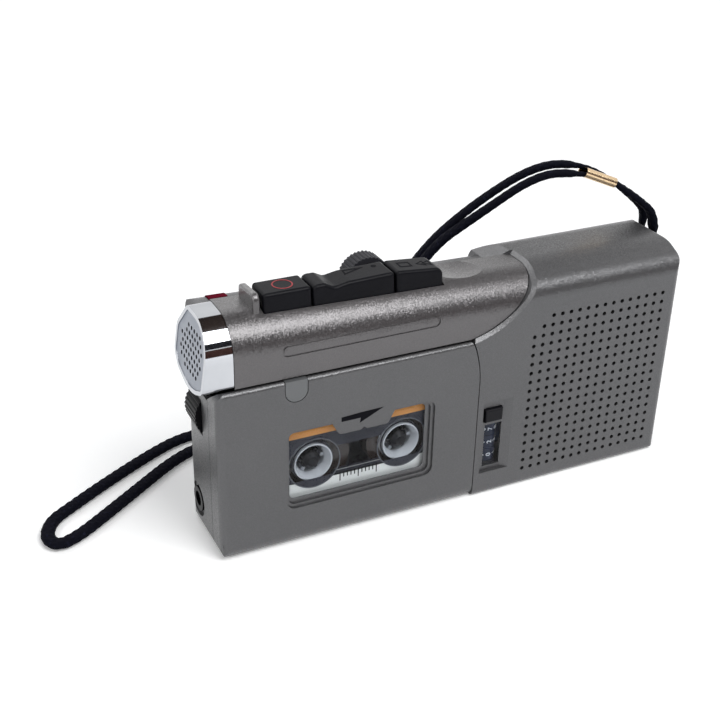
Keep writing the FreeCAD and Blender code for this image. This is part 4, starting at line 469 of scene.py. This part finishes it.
def make_materials():
    return {
        "silver": silver_paint("silver_paint", 0.110, flake=0.9, coat=0.2),
        "barrel": silver_paint("barrel_paint", 0.084, flake=1.15, warm=1.06, coat=1.0,
                               rough=(0.27, 0.34)),
        "catch": silver_paint("catch_paint", 0.14, metallic=0.35, flake=0.2, warm=0.97),
        "chrome": chrome("chrome_rim"),
        "grille": grille_paint("pale_grille"),
        "foam": plastic("mic_foam", (0.004, 0.004, 0.006), rough=(0.8, 0.95), grain=1800.0,
                        depth=0.6, shine=0.02),
        "button": plastic("button_plastic", (0.005, 0.005, 0.007), rough=(0.30, 0.42),
                          grain=3600.0, depth=0.4, shine=0.10),
        "wheel": plastic("wheel_plastic", (0.0025, 0.0025, 0.0035), rough=(0.24, 0.34),
                         grain=1500.0, depth=0.1, shine=0.10),
        "black": plastic("black_plastic", (0.005, 0.005, 0.007), rough=(0.34, 0.5), shine=0.16),
        "dark": plastic("dark_plastic", (0.024, 0.024, 0.029), rough=(0.4, 0.55), shine=0.22),
        "grey": plastic("grey_plastic", (0.18, 0.18, 0.185), rough=(0.4, 0.55)),
        "white": plastic("white_plastic", (0.72, 0.73, 0.74), rough=(0.3, 0.45), spread=0.04),
        "hub": plastic("hub_plastic", (0.50, 0.52, 0.55), rough=(0.18, 0.3), depth=0.08,
                       spread=0.06),
        "lamp": plastic("red_lens", (0.11, 0.008, 0.018), rough=(0.3, 0.4), depth=0.1,
                        spread=0.2, shine=0.0),
        "red": plastic("red_ink", (0.30, 0.008, 0.014), rough=(0.4, 0.5), depth=0.1,
                       spread=0.1),
        "ink": plastic("black_ink", (0.004, 0.004, 0.006), rough=(0.5, 0.6), depth=0.1,
                       shine=0.05),
        "slate": plastic("slate_ink", (0.024, 0.025, 0.035), rough=(0.35, 0.5), depth=0.1,
                         shine=0.2),
        "rim": plastic("hub_hole_rim", (0.10, 0.105, 0.12), rough=(0.2, 0.3), depth=0.1,
                       shine=0.4),
        "digit": plastic("white_ink", (0.75, 0.78, 0.82), rough=(0.4, 0.5), depth=0.1,
                         spread=0.05),
        "drum": plastic("drum_plastic", (0.012, 0.017, 0.038), rough=(0.3, 0.42), shine=0.2),
        "cassette": plastic("cassette_plastic", (0.020, 0.020, 0.028), rough=(0.22, 0.34),
                            depth=0.12, shine=0.25),
        "label": plastic("label_card", (0.74, 0.75, 0.73), rough=(0.5, 0.65), depth=0.15,
                         spread=0.04),
        "orange": plastic("orange_card", (0.62, 0.26, 0.055), rough=(0.5, 0.65), depth=0.15,
                          spread=0.06),
        "tape": plastic("tape_pack", (0.030, 0.020, 0.017), rough=(0.15, 0.3), grain=6000.0,
                        depth=0.2),
        "pane": clear_plastic("clear_pane", (0.96, 0.97, 0.98), gloss_share=0.35),
        "steel": metal("steel", (0.62, 0.62, 0.64)),
        "brass": metal("brass", (0.72, 0.54, 0.26)),
        "ferrule": metal("ferrule_metal", (0.80, 0.60, 0.38), rough=(0.14, 0.24),
                         stretch=(1, 1, 1), depth=0.08),
        "ferrite": plastic("ferrite", (0.05, 0.05, 0.052), rough=(0.6, 0.75), grain=1500.0,
                           depth=0.5),
        "cone": plastic("cone_paper", (0.04, 0.04, 0.042), rough=(0.75, 0.9), grain=1200.0,
                        depth=0.6),
        "rubber": plastic("belt_rubber", (0.012, 0.012, 0.012), rough=(0.6, 0.75),
                          grain=2200.0, depth=0.4),
        "board": plastic("board_laminate", (0.03, 0.14, 0.055), rough=(0.3, 0.42)),
        "cell": plastic("cell_jacket", (0.05, 0.09, 0.19), rough=(0.2, 0.3), depth=0.08),
        "braid": braid_material("strap_braid"),
    }


# Which of the model's own pieces get which material. The strap's cord and the two hubs
# aren't among them, because new pieces replace them.
finished_nodes = {
    "silver": ["front_cabinet", "rear_cabinet", "battery_lid", "cassette_lid"],
    "barrel": ["barrel_cover"],
    "catch": ["lid_catch"],
    "chrome": ["mic_cap"],
    "grille": ["mic_grille"],
    "lamp": ["record_lamp"],
    "button": ["record_button", "play_button", "stop_button"],
    "wheel": ["speed_wheel", "earphone_jack"],
    "dark": ["mic_capsule", "volume_wheel", "counter_frame"],
    "black": ["board_parts", "supply_spindle", "takeup_spindle", "reset_button"],
    "grey": ["wheel_controls"],
    "white": ["idler_gear"],
    "pane": ["lid_window", "counter_window"],
    "cassette": ["cassette_shell"],
    "label": ["cassette_label"],
    "tape": ["supply_tape", "takeup_tape"],
    "drum": ["counter_drum_units", "counter_drum_tens", "counter_drum_hundreds"],
    "ferrule": ["strap_ferrule"],
    "steel": ["lid_hinge_pins", "cassette_springs", "record_spring", "play_spring",
              "stop_spring", "button_bridge", "speaker_frame", "tape_deck", "motor",
              "capstan", "head_sled", "tape_heads", "case_screws", "mechanism_screws"],
    "brass": ["battery_contacts", "motor_pulley", "flywheel"],
    "ferrite": ["speaker_magnet"],
    "cone": ["speaker_cone"],
    "rubber": ["drive_belt", "pinch_roller"],
    "board": ["circuit_board"],
    "cell": ["battery_lower", "battery_upper"],
}


def dress_nodes(paints):
    """The model's own pieces get their materials and smooth shading."""
    for finish, names in finished_nodes.items():
        for name in names:
            paint(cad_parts[name], paints[finish])
    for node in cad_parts.values():
        shade_smooth(node.data)


def press_springs():
    """Give each key's spring a mesh of its own; nothing here shortens the springs."""
    for key in ("record", "play", "stop"):
        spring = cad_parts[key + "_spring"]
        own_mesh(spring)


def slab(name, outer, holes, place, thickness, material, body):
    """Thin flat piece from outlines in its own plane, put in place by a matrix."""
    curve = bpy.data.curves.new(name, "CURVE")
    curve.dimensions = "2D"
    curve.fill_mode = "BOTH"
    curve.extrude = thickness / 2 * MM
    for ring in [outer] + holes:
        spline = curve.splines.new("POLY")
        spline.points.add(len(ring) - 1)
        for point, (u, v) in zip(spline.points, ring):
            point.co = (u * MM, v * MM, 0, 1)
        spline.use_cyclic_u = True
    source = new_object(name + "_outline", curve)
    mesh = bpy.data.meshes.new_from_object(source)
    bpy.data.objects.remove(source)
    piece = new_object(name, mesh)
    mesh.transform(place)
    paint(piece, material)
    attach(piece, body)
    return piece


def circle(radius, count, centre):
    step = 2 * math.pi / count
    return [(centre[0] + radius * math.cos(step * i), centre[1] + radius * math.sin(step * i))
            for i in range(count)]


def rectangle(left, low, right, high):
    return [(left, low), (right, low), (right, high), (left, high)]


def inset(corners, width):
    """The corners of a convex outline moved inwards by a width."""
    moved = []
    count = len(corners)
    for index, corner in enumerate(corners):
        before = Vector(corners[index - 1])
        here = Vector(corner)
        after = Vector(corners[(index + 1) % count])
        first = (before - here).normalized()
        second = (after - here).normalized()
        half = first.angle(second) / 2
        moved.append(tuple(here + (first + second).normalized() * width / math.sin(half)))
    return moved


def dense(corners):
    """The same closed outline with more points on its sides."""
    result = []
    for index, corner in enumerate(corners):
        here = Vector(corner)
        following = Vector(corners[(index + 1) % len(corners)])
        parts = max(1, round((following - here).length / outline_step))
        for part in range(parts):
            result.append(tuple(here.lerp(following, part / parts)))
    return result


def dumb_bell(radius, band):
    """Circles round the two reels, joined by a band, as one closed outline."""
    start = math.asin(band / radius)
    points = []
    for x, first in ((supply_x, start), (takeup_x, -math.pi + start)):
        for index in range(label_lobe_points + 1):
            angle = first + (2 * math.pi - 2 * start) * index / label_lobe_points
            points.append((x + radius * math.cos(angle), reel_height + radius * math.sin(angle)))
    return points


def front_place(y):
    """Matrix of a plane that faces the front, with X to the right and Z up."""
    return Matrix.Translation(Vector((0, y, 0)) * MM) @ Matrix.Rotation(math.pi / 2, 4, "X")


def key_mark(name, outer, holes, key, material):
    """Raised mark that follows the top of a key, and moves with it."""
    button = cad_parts[key + "_button"].data
    surface = BVHTree.FromPolygons([vertex.co for vertex in button.vertices],
                                   [polygon.vertices for polygon in button.polygons])
    mark = slab(name, dense(outer), [dense(hole) for hole in holes], Matrix.Identity(4),
                mark_height, material, key + "_key")
    for vertex in mark.data.vertices:
        above = Vector((vertex.co.x, vertex.co.y, probe_height * MM))
        hit = surface.ray_cast(above, Vector((0, 0, -1)))[0]
        vertex.co.z += hit.z + mark_rise * mark_height * MM


def add_key_marks(paints):
    """Ring on record, triangle and dot on play, square and two small triangles on stop."""
    ring = circle(record_mark_radius, record_mark_points, record_mark)
    ring_hole = circle(record_mark_radius - record_line, record_mark_points, record_mark)
    dot = circle(play_dot_radius, play_dot_points, play_dot)
    ink = paints["ink"]
    key_mark("record_ring", ring, [ring_hole], "record", paints["red"])
    key_mark("play_triangle", play_triangle, [inset(play_triangle, mark_line)], "play", ink)
    key_mark("play_dot", dot, [], "play", ink)
    key_mark("stop_square", stop_square, [inset(stop_square, mark_line)], "stop", ink)
    for index in range(rewind_count):
        arrow = [(x + index * rewind_step, y) for x, y in rewind_arrow]
        name = "rewind_arrow_" + str(index + 1)
        key_mark(name, arrow, [inset(arrow, rewind_line)], "stop", ink)


def add_lid_arrow(paints):
    """Direction arrow printed on the lid's tongue."""
    place = front_place(front_face - mark_height / 2 + lid_arrow_sink)
    slab("lid_arrow", lid_arrow, [], place, mark_height, paints["ink"], "cassette_door")


def add_label_part(name, outer, holes, y, material):
    slab(name, outer, holes, front_place(y), print_thickness, material, "case")


def add_label_print(paints):
    """The cassette's dark field with the hubs' opening, its coloured stripe and tape scale."""
    y = cassette_front - label_gap
    field = rectangle(label_left, label_bottom, label_right, stripe_high + stripe_margin)
    opening = dumb_bell(label_hole, label_band)
    add_label_part("label_field", field, [opening], y, paints["slate"])
    stripe = rectangle(label_left, stripe_low, label_right, stripe_high)
    add_label_part("label_stripe", stripe, [], y - print_thickness, paints["orange"])
    middle = (supply_x + takeup_x) / 2
    for index in range(tick_count):
        x = middle - tick_first + index * tick_step
        length = tick_long if index % tick_long_every == 0 else tick_short
        tick = rectangle(x - tick_half_width, tick_top - length, x + tick_half_width, tick_top)
        add_label_part("scale_tick_" + str(index + 1), tick, [], y - print_thickness / 2,
                       paints["ink"])


def add_drum_figures(paints):
    """White figures 0 to 9 wrapped round each counter drum, read from the top of the body."""
    for drum, shown in figures_shown.items():
        low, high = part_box("counter_drum_" + drum)
        pieces = []
        for figure in range(figure_count):
            angle = (figure - shown) * 2 * math.pi / figure_count
            pieces.append(drum_figure(str(figure), angle, low, high))
        joined = join_meshes("figures_" + drum, pieces)
        paint(joined, paints["digit"])
        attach(joined, drum + "_drum")


def drum_figure(text, angle, low, high):
    """One figure bent round a drum, given the drum's lowest and highest corners."""
    curve = bpy.data.curves.new("figure", "FONT")
    curve.body = text
    curve.size = figure_size * MM
    curve.align_x = "CENTER"
    curve.align_y = "CENTER"
    curve.extrude = figure_relief * MM
    source = new_object("figure_source", curve)
    mesh = bpy.data.meshes.new_from_object(source)
    bpy.data.objects.remove(source)
    cut_in_rows(mesh)
    middle = (low + high) / 2
    radius = (high.x - low.x) / 2 + figure_relief * MM
    for vertex in mesh.vertices:
        swing = angle - vertex.co.y / radius
        reach = radius + vertex.co.z
        along = vertex.co.x * figure_stretch
        vertex.co = (middle.x + reach * math.sin(swing), middle.y - reach * math.cos(swing),
                     middle.z + along)
    return mesh


def cut_in_rows(mesh):
    """Cut a flat figure into rows, so that it can follow a drum."""
    sliced = bmesh.new()
    sliced.from_mesh(mesh)
    rows = round(figure_size / figure_row)
    for row in range(-rows, rows + 1):
        every = sliced.verts[:] + sliced.edges[:] + sliced.faces[:]
        bmesh.ops.bisect_plane(sliced, geom=every, plane_co=(0, row * figure_row * MM, 0),
                               plane_no=(0, 1, 0))
    sliced.to_mesh(mesh)
    sliced.free()


def turned_mesh(name, profile, x, z):
    """Rings about a Y axis from runs of radius and depth, each run with its own edges."""
    vertices = []
    faces = []
    for (first_radius, first_y), (second_radius, second_y) in zip(profile, profile[1:]):
        base = len(vertices)
        for index in range(turned_sides):
            angle = 2 * math.pi * index / turned_sides
            direction = Vector((math.cos(angle), 0, math.sin(angle)))
            vertices.append(Vector((x, first_y, z)) + direction * first_radius)
            vertices.append(Vector((x, second_y, z)) + direction * second_radius)
        for index in range(turned_sides):
            here = base + 2 * index
            following = base + 2 * ((index + 1) % turned_sides)
            faces.append((here, here + 1, following + 1, following))
    mesh = bpy.data.meshes.new(name)
    mesh.from_pydata([vertex * MM for vertex in vertices], [], faces)
    mesh.update()
    shade_smooth(mesh)
    return mesh


def tooth_mesh(x, z, angle, bore, start, end):
    """Square tooth that points inwards from a hub's bore."""
    along = Vector((math.cos(angle), 0, -math.sin(angle)))
    across = Vector((math.sin(angle), 0, math.cos(angle)))
    corners = []
    for reach in (bore - tooth_reach, bore + tooth_root):
        for offset in (-tooth_half_width, tooth_half_width):
            for y in (start, end):
                corners.append((Vector((x, y, z)) + along * reach + across * offset) * MM)
    faces = [(0, 1, 3, 2), (4, 6, 7, 5), (0, 4, 5, 1), (2, 3, 7, 6), (0, 2, 6, 4), (1, 5, 7, 3)]
    mesh = bpy.data.meshes.new("tooth")
    mesh.from_pydata(corners, [], faces)
    mesh.update()
    return mesh


def join_meshes(name, meshes):
    joined = bmesh.new()
    for mesh in meshes:
        joined.from_mesh(mesh)
    result = bpy.data.meshes.new(name)
    joined.to_mesh(result)
    joined.free()
    return new_object(name, result)


def add_ring(name, profile, x, z, material, body):
    ring = new_object(name, turned_mesh(name, profile, x, z))
    paint(ring, material)
    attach(ring, body)


def make_hubs(paints):
    """Cassette hubs with a thin rim, a funnel and three teeth, in place of the plain rings."""
    for side in ("supply", "takeup"):
        low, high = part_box(side + "_hub")
        low, high = low / MM, high / MM
        x = (low.x + high.x) / 2
        z = (low.z + high.z) / 2
        outside = (high.x - low.x) / 2
        bore = outside - hub_wall
        front, back = low.y, high.y
        cone_end = front + hub_cone_depth
        step = front + hub_step
        profile = [(hub_rim, front), (hub_rim - hub_rim_width, front), (bore, cone_end),
                   (bore, back), (outside, back), (outside, step), (hub_rim, step),
                   (hub_rim, front)]
        meshes = [turned_mesh("funnel", profile, x, z)]
        for index in range(hub_teeth):
            angle = 2 * math.pi * index / hub_teeth
            meshes.append(tooth_mesh(x, z, angle, bore, cone_end + tooth_front_gap,
                                     back - tooth_back_gap))
        hub = join_meshes(side + "_funnel_hub", meshes)
        paint(hub, paints["hub"])
        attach(hub, side + "_reel")
        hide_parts(side + "_hub")
        collar = [(outside, step - collar_gap), (hub_rim, step - collar_gap)]
        add_ring(side + "_hub_collar", collar, x, z, paints["cassette"], side + "_reel")
        rim = [(label_hole + out, cassette_front + y) for out, y in hole_rim]
        add_ring(side + "_hole_rim", rim, x, z, paints["rim"], "case")


def route_line(points):
    """Points along the smooth line that the strap's route controls."""
    curve = bpy.data.curves.new("strap_route", "CURVE")
    curve.dimensions = "3D"
    spline = curve.splines.new("NURBS")
    spline.points.add(len(points) - 1)
    for point, place in zip(spline.points, points):
        point.co = (*(Vector(place) * MM), 1)
    spline.order_u = 3
    spline.use_endpoint_u = True
    curve.resolution_u = route_resolution
    source = new_object("strap_route", curve)
    mesh = bpy.data.meshes.new_from_object(source)
    line = [vertex.co.copy() for vertex in mesh.vertices]
    bpy.data.objects.remove(source)
    return line


def even_line(line, count):
    """The same line with evenly spaced points, and its length."""
    lengths = [0.0]
    for first, second in zip(line, line[1:]):
        lengths.append(lengths[-1] + (second - first).length)
    total = lengths[-1]
    result = []
    index = 0
    for step in range(count):
        target = total * step / (count - 1)
        while index < len(line) - 2 and lengths[index + 1] < target:
            index += 1
        span = lengths[index + 1] - lengths[index]
        share = (target - lengths[index]) / span if span > 0 else 0
        result.append(line[index].lerp(line[index + 1], min(max(share, 0), 1)))
    return result, total


def strap_sides(samples):
    """The strap's directions across and upright at each sample, turned slowly to level."""
    side = None
    sides = []
    for index in range(len(samples)):
        before = samples[max(index - 1, 0)]
        after = samples[min(index + 1, len(samples) - 1)]
        tangent = (after - before).normalized()
        level = tangent.cross(Vector((0, 0, 1)))
        if side is None:
            side = level.normalized()
        if level.dot(side) < 0:
            level.negate()
        side = side + level * strap_levelling
        side = (side - tangent * side.dot(tangent)).normalized()
        sides.append((side, tangent.cross(side)))
    return sides


def strap_slack(centre, travel, total, ferrule_middle):
    """Share of the strap's full width: less in the ferrule, at the ends and on the arch."""
    from_ferrule = (centre - ferrule_middle).length / MM - strap_ferrule_reach
    from_end = min(travel, total - travel) - strap_end_reach
    share = min(from_ferrule, from_end) / strap_swell
    share = min(max(share, 0.0), 1.0)
    raised = (centre.z / MM - strap_high_start) / (strap_high_end - strap_high_start)
    raised = min(max(raised, 0.0), 1.0)
    return share * share * (3 - 2 * share) * (1 - (1 - strap_high_share) * raised)


def strap_profile(angle, half_width, half_height):
    """Point on the strap's rounded flat section, and its outward direction."""
    c = math.cos(angle)
    s = math.sin(angle)
    x = half_width * math.copysign(abs(c) ** strap_roundness, c)
    y = half_height * math.copysign(abs(s) ** strap_roundness, s)
    direction = Vector((c / half_width, s / half_height)).normalized()
    return x, y, direction


def strap_section(travel, slack):
    """One ring of the strap, across and upright, with the yarns raised that cross there."""
    width = strap_tight_width + (strap_width - strap_tight_width) * slack
    thickness = strap_tight_thickness + (strap_thickness - strap_tight_thickness) * slack
    ring = []
    for corner in range(strap_ring):
        angle = 2 * math.pi * corner / strap_ring
        x, y, out = strap_profile(angle, width / 2 - braid_height, thickness / 2 - braid_height)
        turns = angle / (2 * math.pi) * braid_yarns
        first = abs(math.sin(math.pi * (travel / braid_pitch + turns))) ** braid_crown
        second = abs(math.sin(math.pi * (travel / braid_pitch - turns))) ** braid_crown
        raise_by = braid_height * max(first, second * braid_second_share)
        ring.append((x + out.x * raise_by, y + out.y * raise_by))
    return ring


def tube_faces(rows, ring):
    """Faces of a tube of rings, with its two ends closed."""
    faces = []
    for row in range(rows - 1):
        for corner in range(ring):
            following = (corner + 1) % ring
            faces.append((row * ring + corner, row * ring + following,
                          (row + 1) * ring + following, (row + 1) * ring + corner))
    faces.append(tuple(reversed(range(ring))))
    faces.append(tuple((rows - 1) * ring + corner for corner in range(ring)))
    return faces


def make_strap(paints):
    """Flat braid swept along the route, lying flat where it can, with its yarns raised."""
    samples, total = even_line(route_line(strap_points), strap_samples)
    low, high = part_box("strap_ferrule")
    ferrule_middle = (low + high) / 2
    vertices = []
    for index, (centre, (side, other)) in enumerate(zip(samples, strap_sides(samples))):
        travel = total * index / (len(samples) - 1) / MM
        slack = strap_slack(centre, travel, total / MM, ferrule_middle)
        for x, y in strap_section(travel, slack):
            vertices.append(centre + side * x * MM + other * y * MM)
    mesh = bpy.data.meshes.new("strap")
    mesh.from_pydata(vertices, [], tube_faces(len(samples), strap_ring))
    mesh.update()
    shade_smooth(mesh)
    strap = new_object("wrist_strap", mesh)
    paint(strap, paints["braid"])
    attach(strap, "case")
    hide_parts("strap_cord")


def make_mic_gauze(paints):
    """Black gauze behind the microphone grille's holes, which leans as the grille does."""
    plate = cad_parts["mic_grille"]
    seen = [Vector((vertex.co.y, vertex.co.z)) / MM for vertex in plate.data.vertices]
    border = [seen[index] for index in convex_hull_2d(seen)]
    middle = (min(border, key=lambda p: p.x) + max(border, key=lambda p: p.x)) / 2
    middle.y = (min(p.y for p in border) + max(p.y for p in border)) / 2
    outer = [tuple(middle + (point - middle) * gauze_share) for point in border]
    outer = [(y, z - grille_foot[1]) for y, z in outer]
    foot = Vector((grille_foot[0], 0, grille_foot[1])) * MM
    place = Matrix.Translation(foot) @ Matrix.Rotation(math.radians(grille_tilt), 4, "Y")
    place = place @ Matrix.Translation(Vector((gauze_depth, 0, 0)) * MM)
    place = place @ Matrix.Rotation(math.pi / 2, 4, "Z") @ Matrix.Rotation(math.pi / 2, 4, "X")
    slab("mic_gauze", outer, [], place, gauze_thickness, paints["foam"], "case")


def flat_mesh(name, width, depth):
    mesh = bpy.data.meshes.new(name)
    corners = rectangle(-width / 2, -depth / 2, width / 2, depth / 2)
    mesh.from_pydata([(x, y, 0) for x, y in corners], [], [(0, 1, 2, 3)])
    return mesh


def background_share(tree):
    """1 for rays that come from the camera, through glass or off gloss, and 0 for others."""
    path = tree.nodes.new("ShaderNodeLightPath")
    share = path.outputs["Is Camera Ray"]
    for ray in ("Is Transmission Ray", "Is Glossy Ray"):
        either = tree.nodes.new("ShaderNodeMath")
        either.operation = "MAXIMUM"
        tree.links.new(share, either.inputs[0])
        tree.links.new(path.outputs[ray], either.inputs[1])
        share = either.outputs[0]
    return share


def add_floor():
    """Pale floor that keeps the shadow and turns white with distance."""
    floor = new_object("floor", flat_mesh("floor", 2 * floor_reach, 2 * floor_reach))
    floor.location.z = -floor_drop
    n = Nodes("floor_card")
    speckle = n.noise(scale=40.0, detail=2.0)
    n.color(n.ramp(speckle, (0.93, 0.93, 0.93), (0.95, 0.95, 0.95), start=0.4, end=0.6))
    n.roughness(n.range(speckle, low=0.8, high=0.9))
    away = n.add("ShaderNodeVectorMath", operation="LENGTH")
    n.link(n.place(), away.inputs[0])
    lift = n.add("ShaderNodeMath", operation="MULTIPLY")
    n.link(background_share(n.tree), lift.inputs[0])
    n.link(n.range(away.outputs["Value"], floor_lift, floor_far_lift, floor_near, floor_far),
           lift.inputs[1])
    n.link(lift.outputs[0], n.shader.inputs["Emission Strength"])
    n.set(emission_color=(1, 1, 1, 1))
    paint(floor, n.material)


def add_world():
    """Soft light on the object, and plain white for the camera, glass and gloss."""
    world = bpy.data.worlds.new("studio")
    bpy.context.scene.world = world
    world.use_nodes = True
    tree = world.node_tree
    tree.nodes.clear()
    output = tree.nodes.new("ShaderNodeOutputWorld")
    light = tree.nodes.new("ShaderNodeBackground")
    light.inputs["Color"].default_value = world_tint
    light.inputs["Strength"].default_value = world_light
    shown = tree.nodes.new("ShaderNodeBackground")
    shown.inputs["Color"].default_value = (1, 1, 1, 1)
    shown.inputs["Strength"].default_value = 1.0
    mix = tree.nodes.new("ShaderNodeMixShader")
    tree.links.new(background_share(tree), mix.inputs[0])
    tree.links.new(light.outputs[0], mix.inputs[1])
    tree.links.new(shown.outputs[0], mix.inputs[2])
    tree.links.new(mix.outputs[0], output.inputs["Surface"])


def aim(thing, place):
    """Put a lamp or card in place with its face towards the object."""
    thing.location = place
    direction = Vector(light_target) - Vector(place)
    thing.rotation_euler = direction.to_track_quat("-Z", "Y").to_euler()


def add_lamp(name, place, size, power, color=(1, 1, 1)):
    data = bpy.data.lights.new(name, "AREA")
    data.shape = "RECTANGLE"
    data.size, data.size_y = size
    data.energy = power
    data.color = color
    aim(new_object(name, data), place)


def add_lamps():
    add_lamp("main_softbox", place=(0.20, -0.46, 0.79), size=(0.52, 0.6), power=6.8)
    add_lamp("left_fill", place=(-0.62, -0.30, 0.50), size=(0.4, 0.4), power=1.3,
             color=(1, 0.98, 0.95))
    add_lamp("rear_fill", place=(-0.10, 0.55, 0.70), size=(0.5, 0.3), power=1.2)


def add_dark_card(name, place, size, color):
    """Card that only gloss sees, so that bright metal has dark bands to show."""
    card = new_object(name, flat_mesh(name, *size))
    aim(card, place)
    paint(card, plastic(name + "_felt", color, rough=(0.9, 1.0), grain=900.0))
    card.visible_camera = False
    card.visible_diffuse = False
    card.visible_transmission = False
    card.visible_shadow = False


def add_dark_cards():
    add_dark_card("upper_card", place=(0.34, 0.0, 0.86), size=(1.3, 0.42),
                  color=(0.045, 0.028, 0.022))
    add_dark_card("middle_card", place=(0.33, -0.74, 0.50), size=(1.5, 0.26),
                  color=(0.010, 0.010, 0.014))
    add_dark_card("lower_card", place=(0.33, -0.86, 0.18), size=(1.5, 0.34),
                  color=(0.075, 0.030, 0.022))


def add_camera():
    data = bpy.data.cameras.new("photo_camera")
    data.lens = camera_lens
    data.sensor_width = camera_sensor
    data.sensor_fit = "HORIZONTAL"
    data.clip_start = camera_near
    data.clip_end = camera_far
    camera = new_object("photo_camera", data)
    turn = Matrix.Rotation(math.radians(camera_azimuth), 4, "Z")
    tilt = Matrix.Rotation(math.radians(90 - camera_elevation), 4, "X")
    roll = Matrix.Rotation(math.radians(camera_roll), 4, "Z")
    camera.matrix_world = Matrix.Translation(Vector(camera_place) * MM) @ turn @ tilt @ roll
    bpy.context.scene.camera = camera


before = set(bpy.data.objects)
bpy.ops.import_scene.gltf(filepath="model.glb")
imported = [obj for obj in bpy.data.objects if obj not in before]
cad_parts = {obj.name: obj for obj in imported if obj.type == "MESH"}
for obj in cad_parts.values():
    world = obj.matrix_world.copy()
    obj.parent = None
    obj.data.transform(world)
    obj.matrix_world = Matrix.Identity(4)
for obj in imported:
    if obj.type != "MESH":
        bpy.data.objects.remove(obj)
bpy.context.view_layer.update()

add_camera()
paints = make_materials()
dress_nodes(paints)
press_springs()
make_strap(paints)
make_mic_gauze(paints)
make_hubs(paints)
add_key_marks(paints)
add_lid_arrow(paints)
add_label_print(paints)
add_drum_figures(paints)
add_floor()
add_world()
add_lamps()
add_dark_cards()
bpy.context.scene.view_settings.view_transform = "Standard"
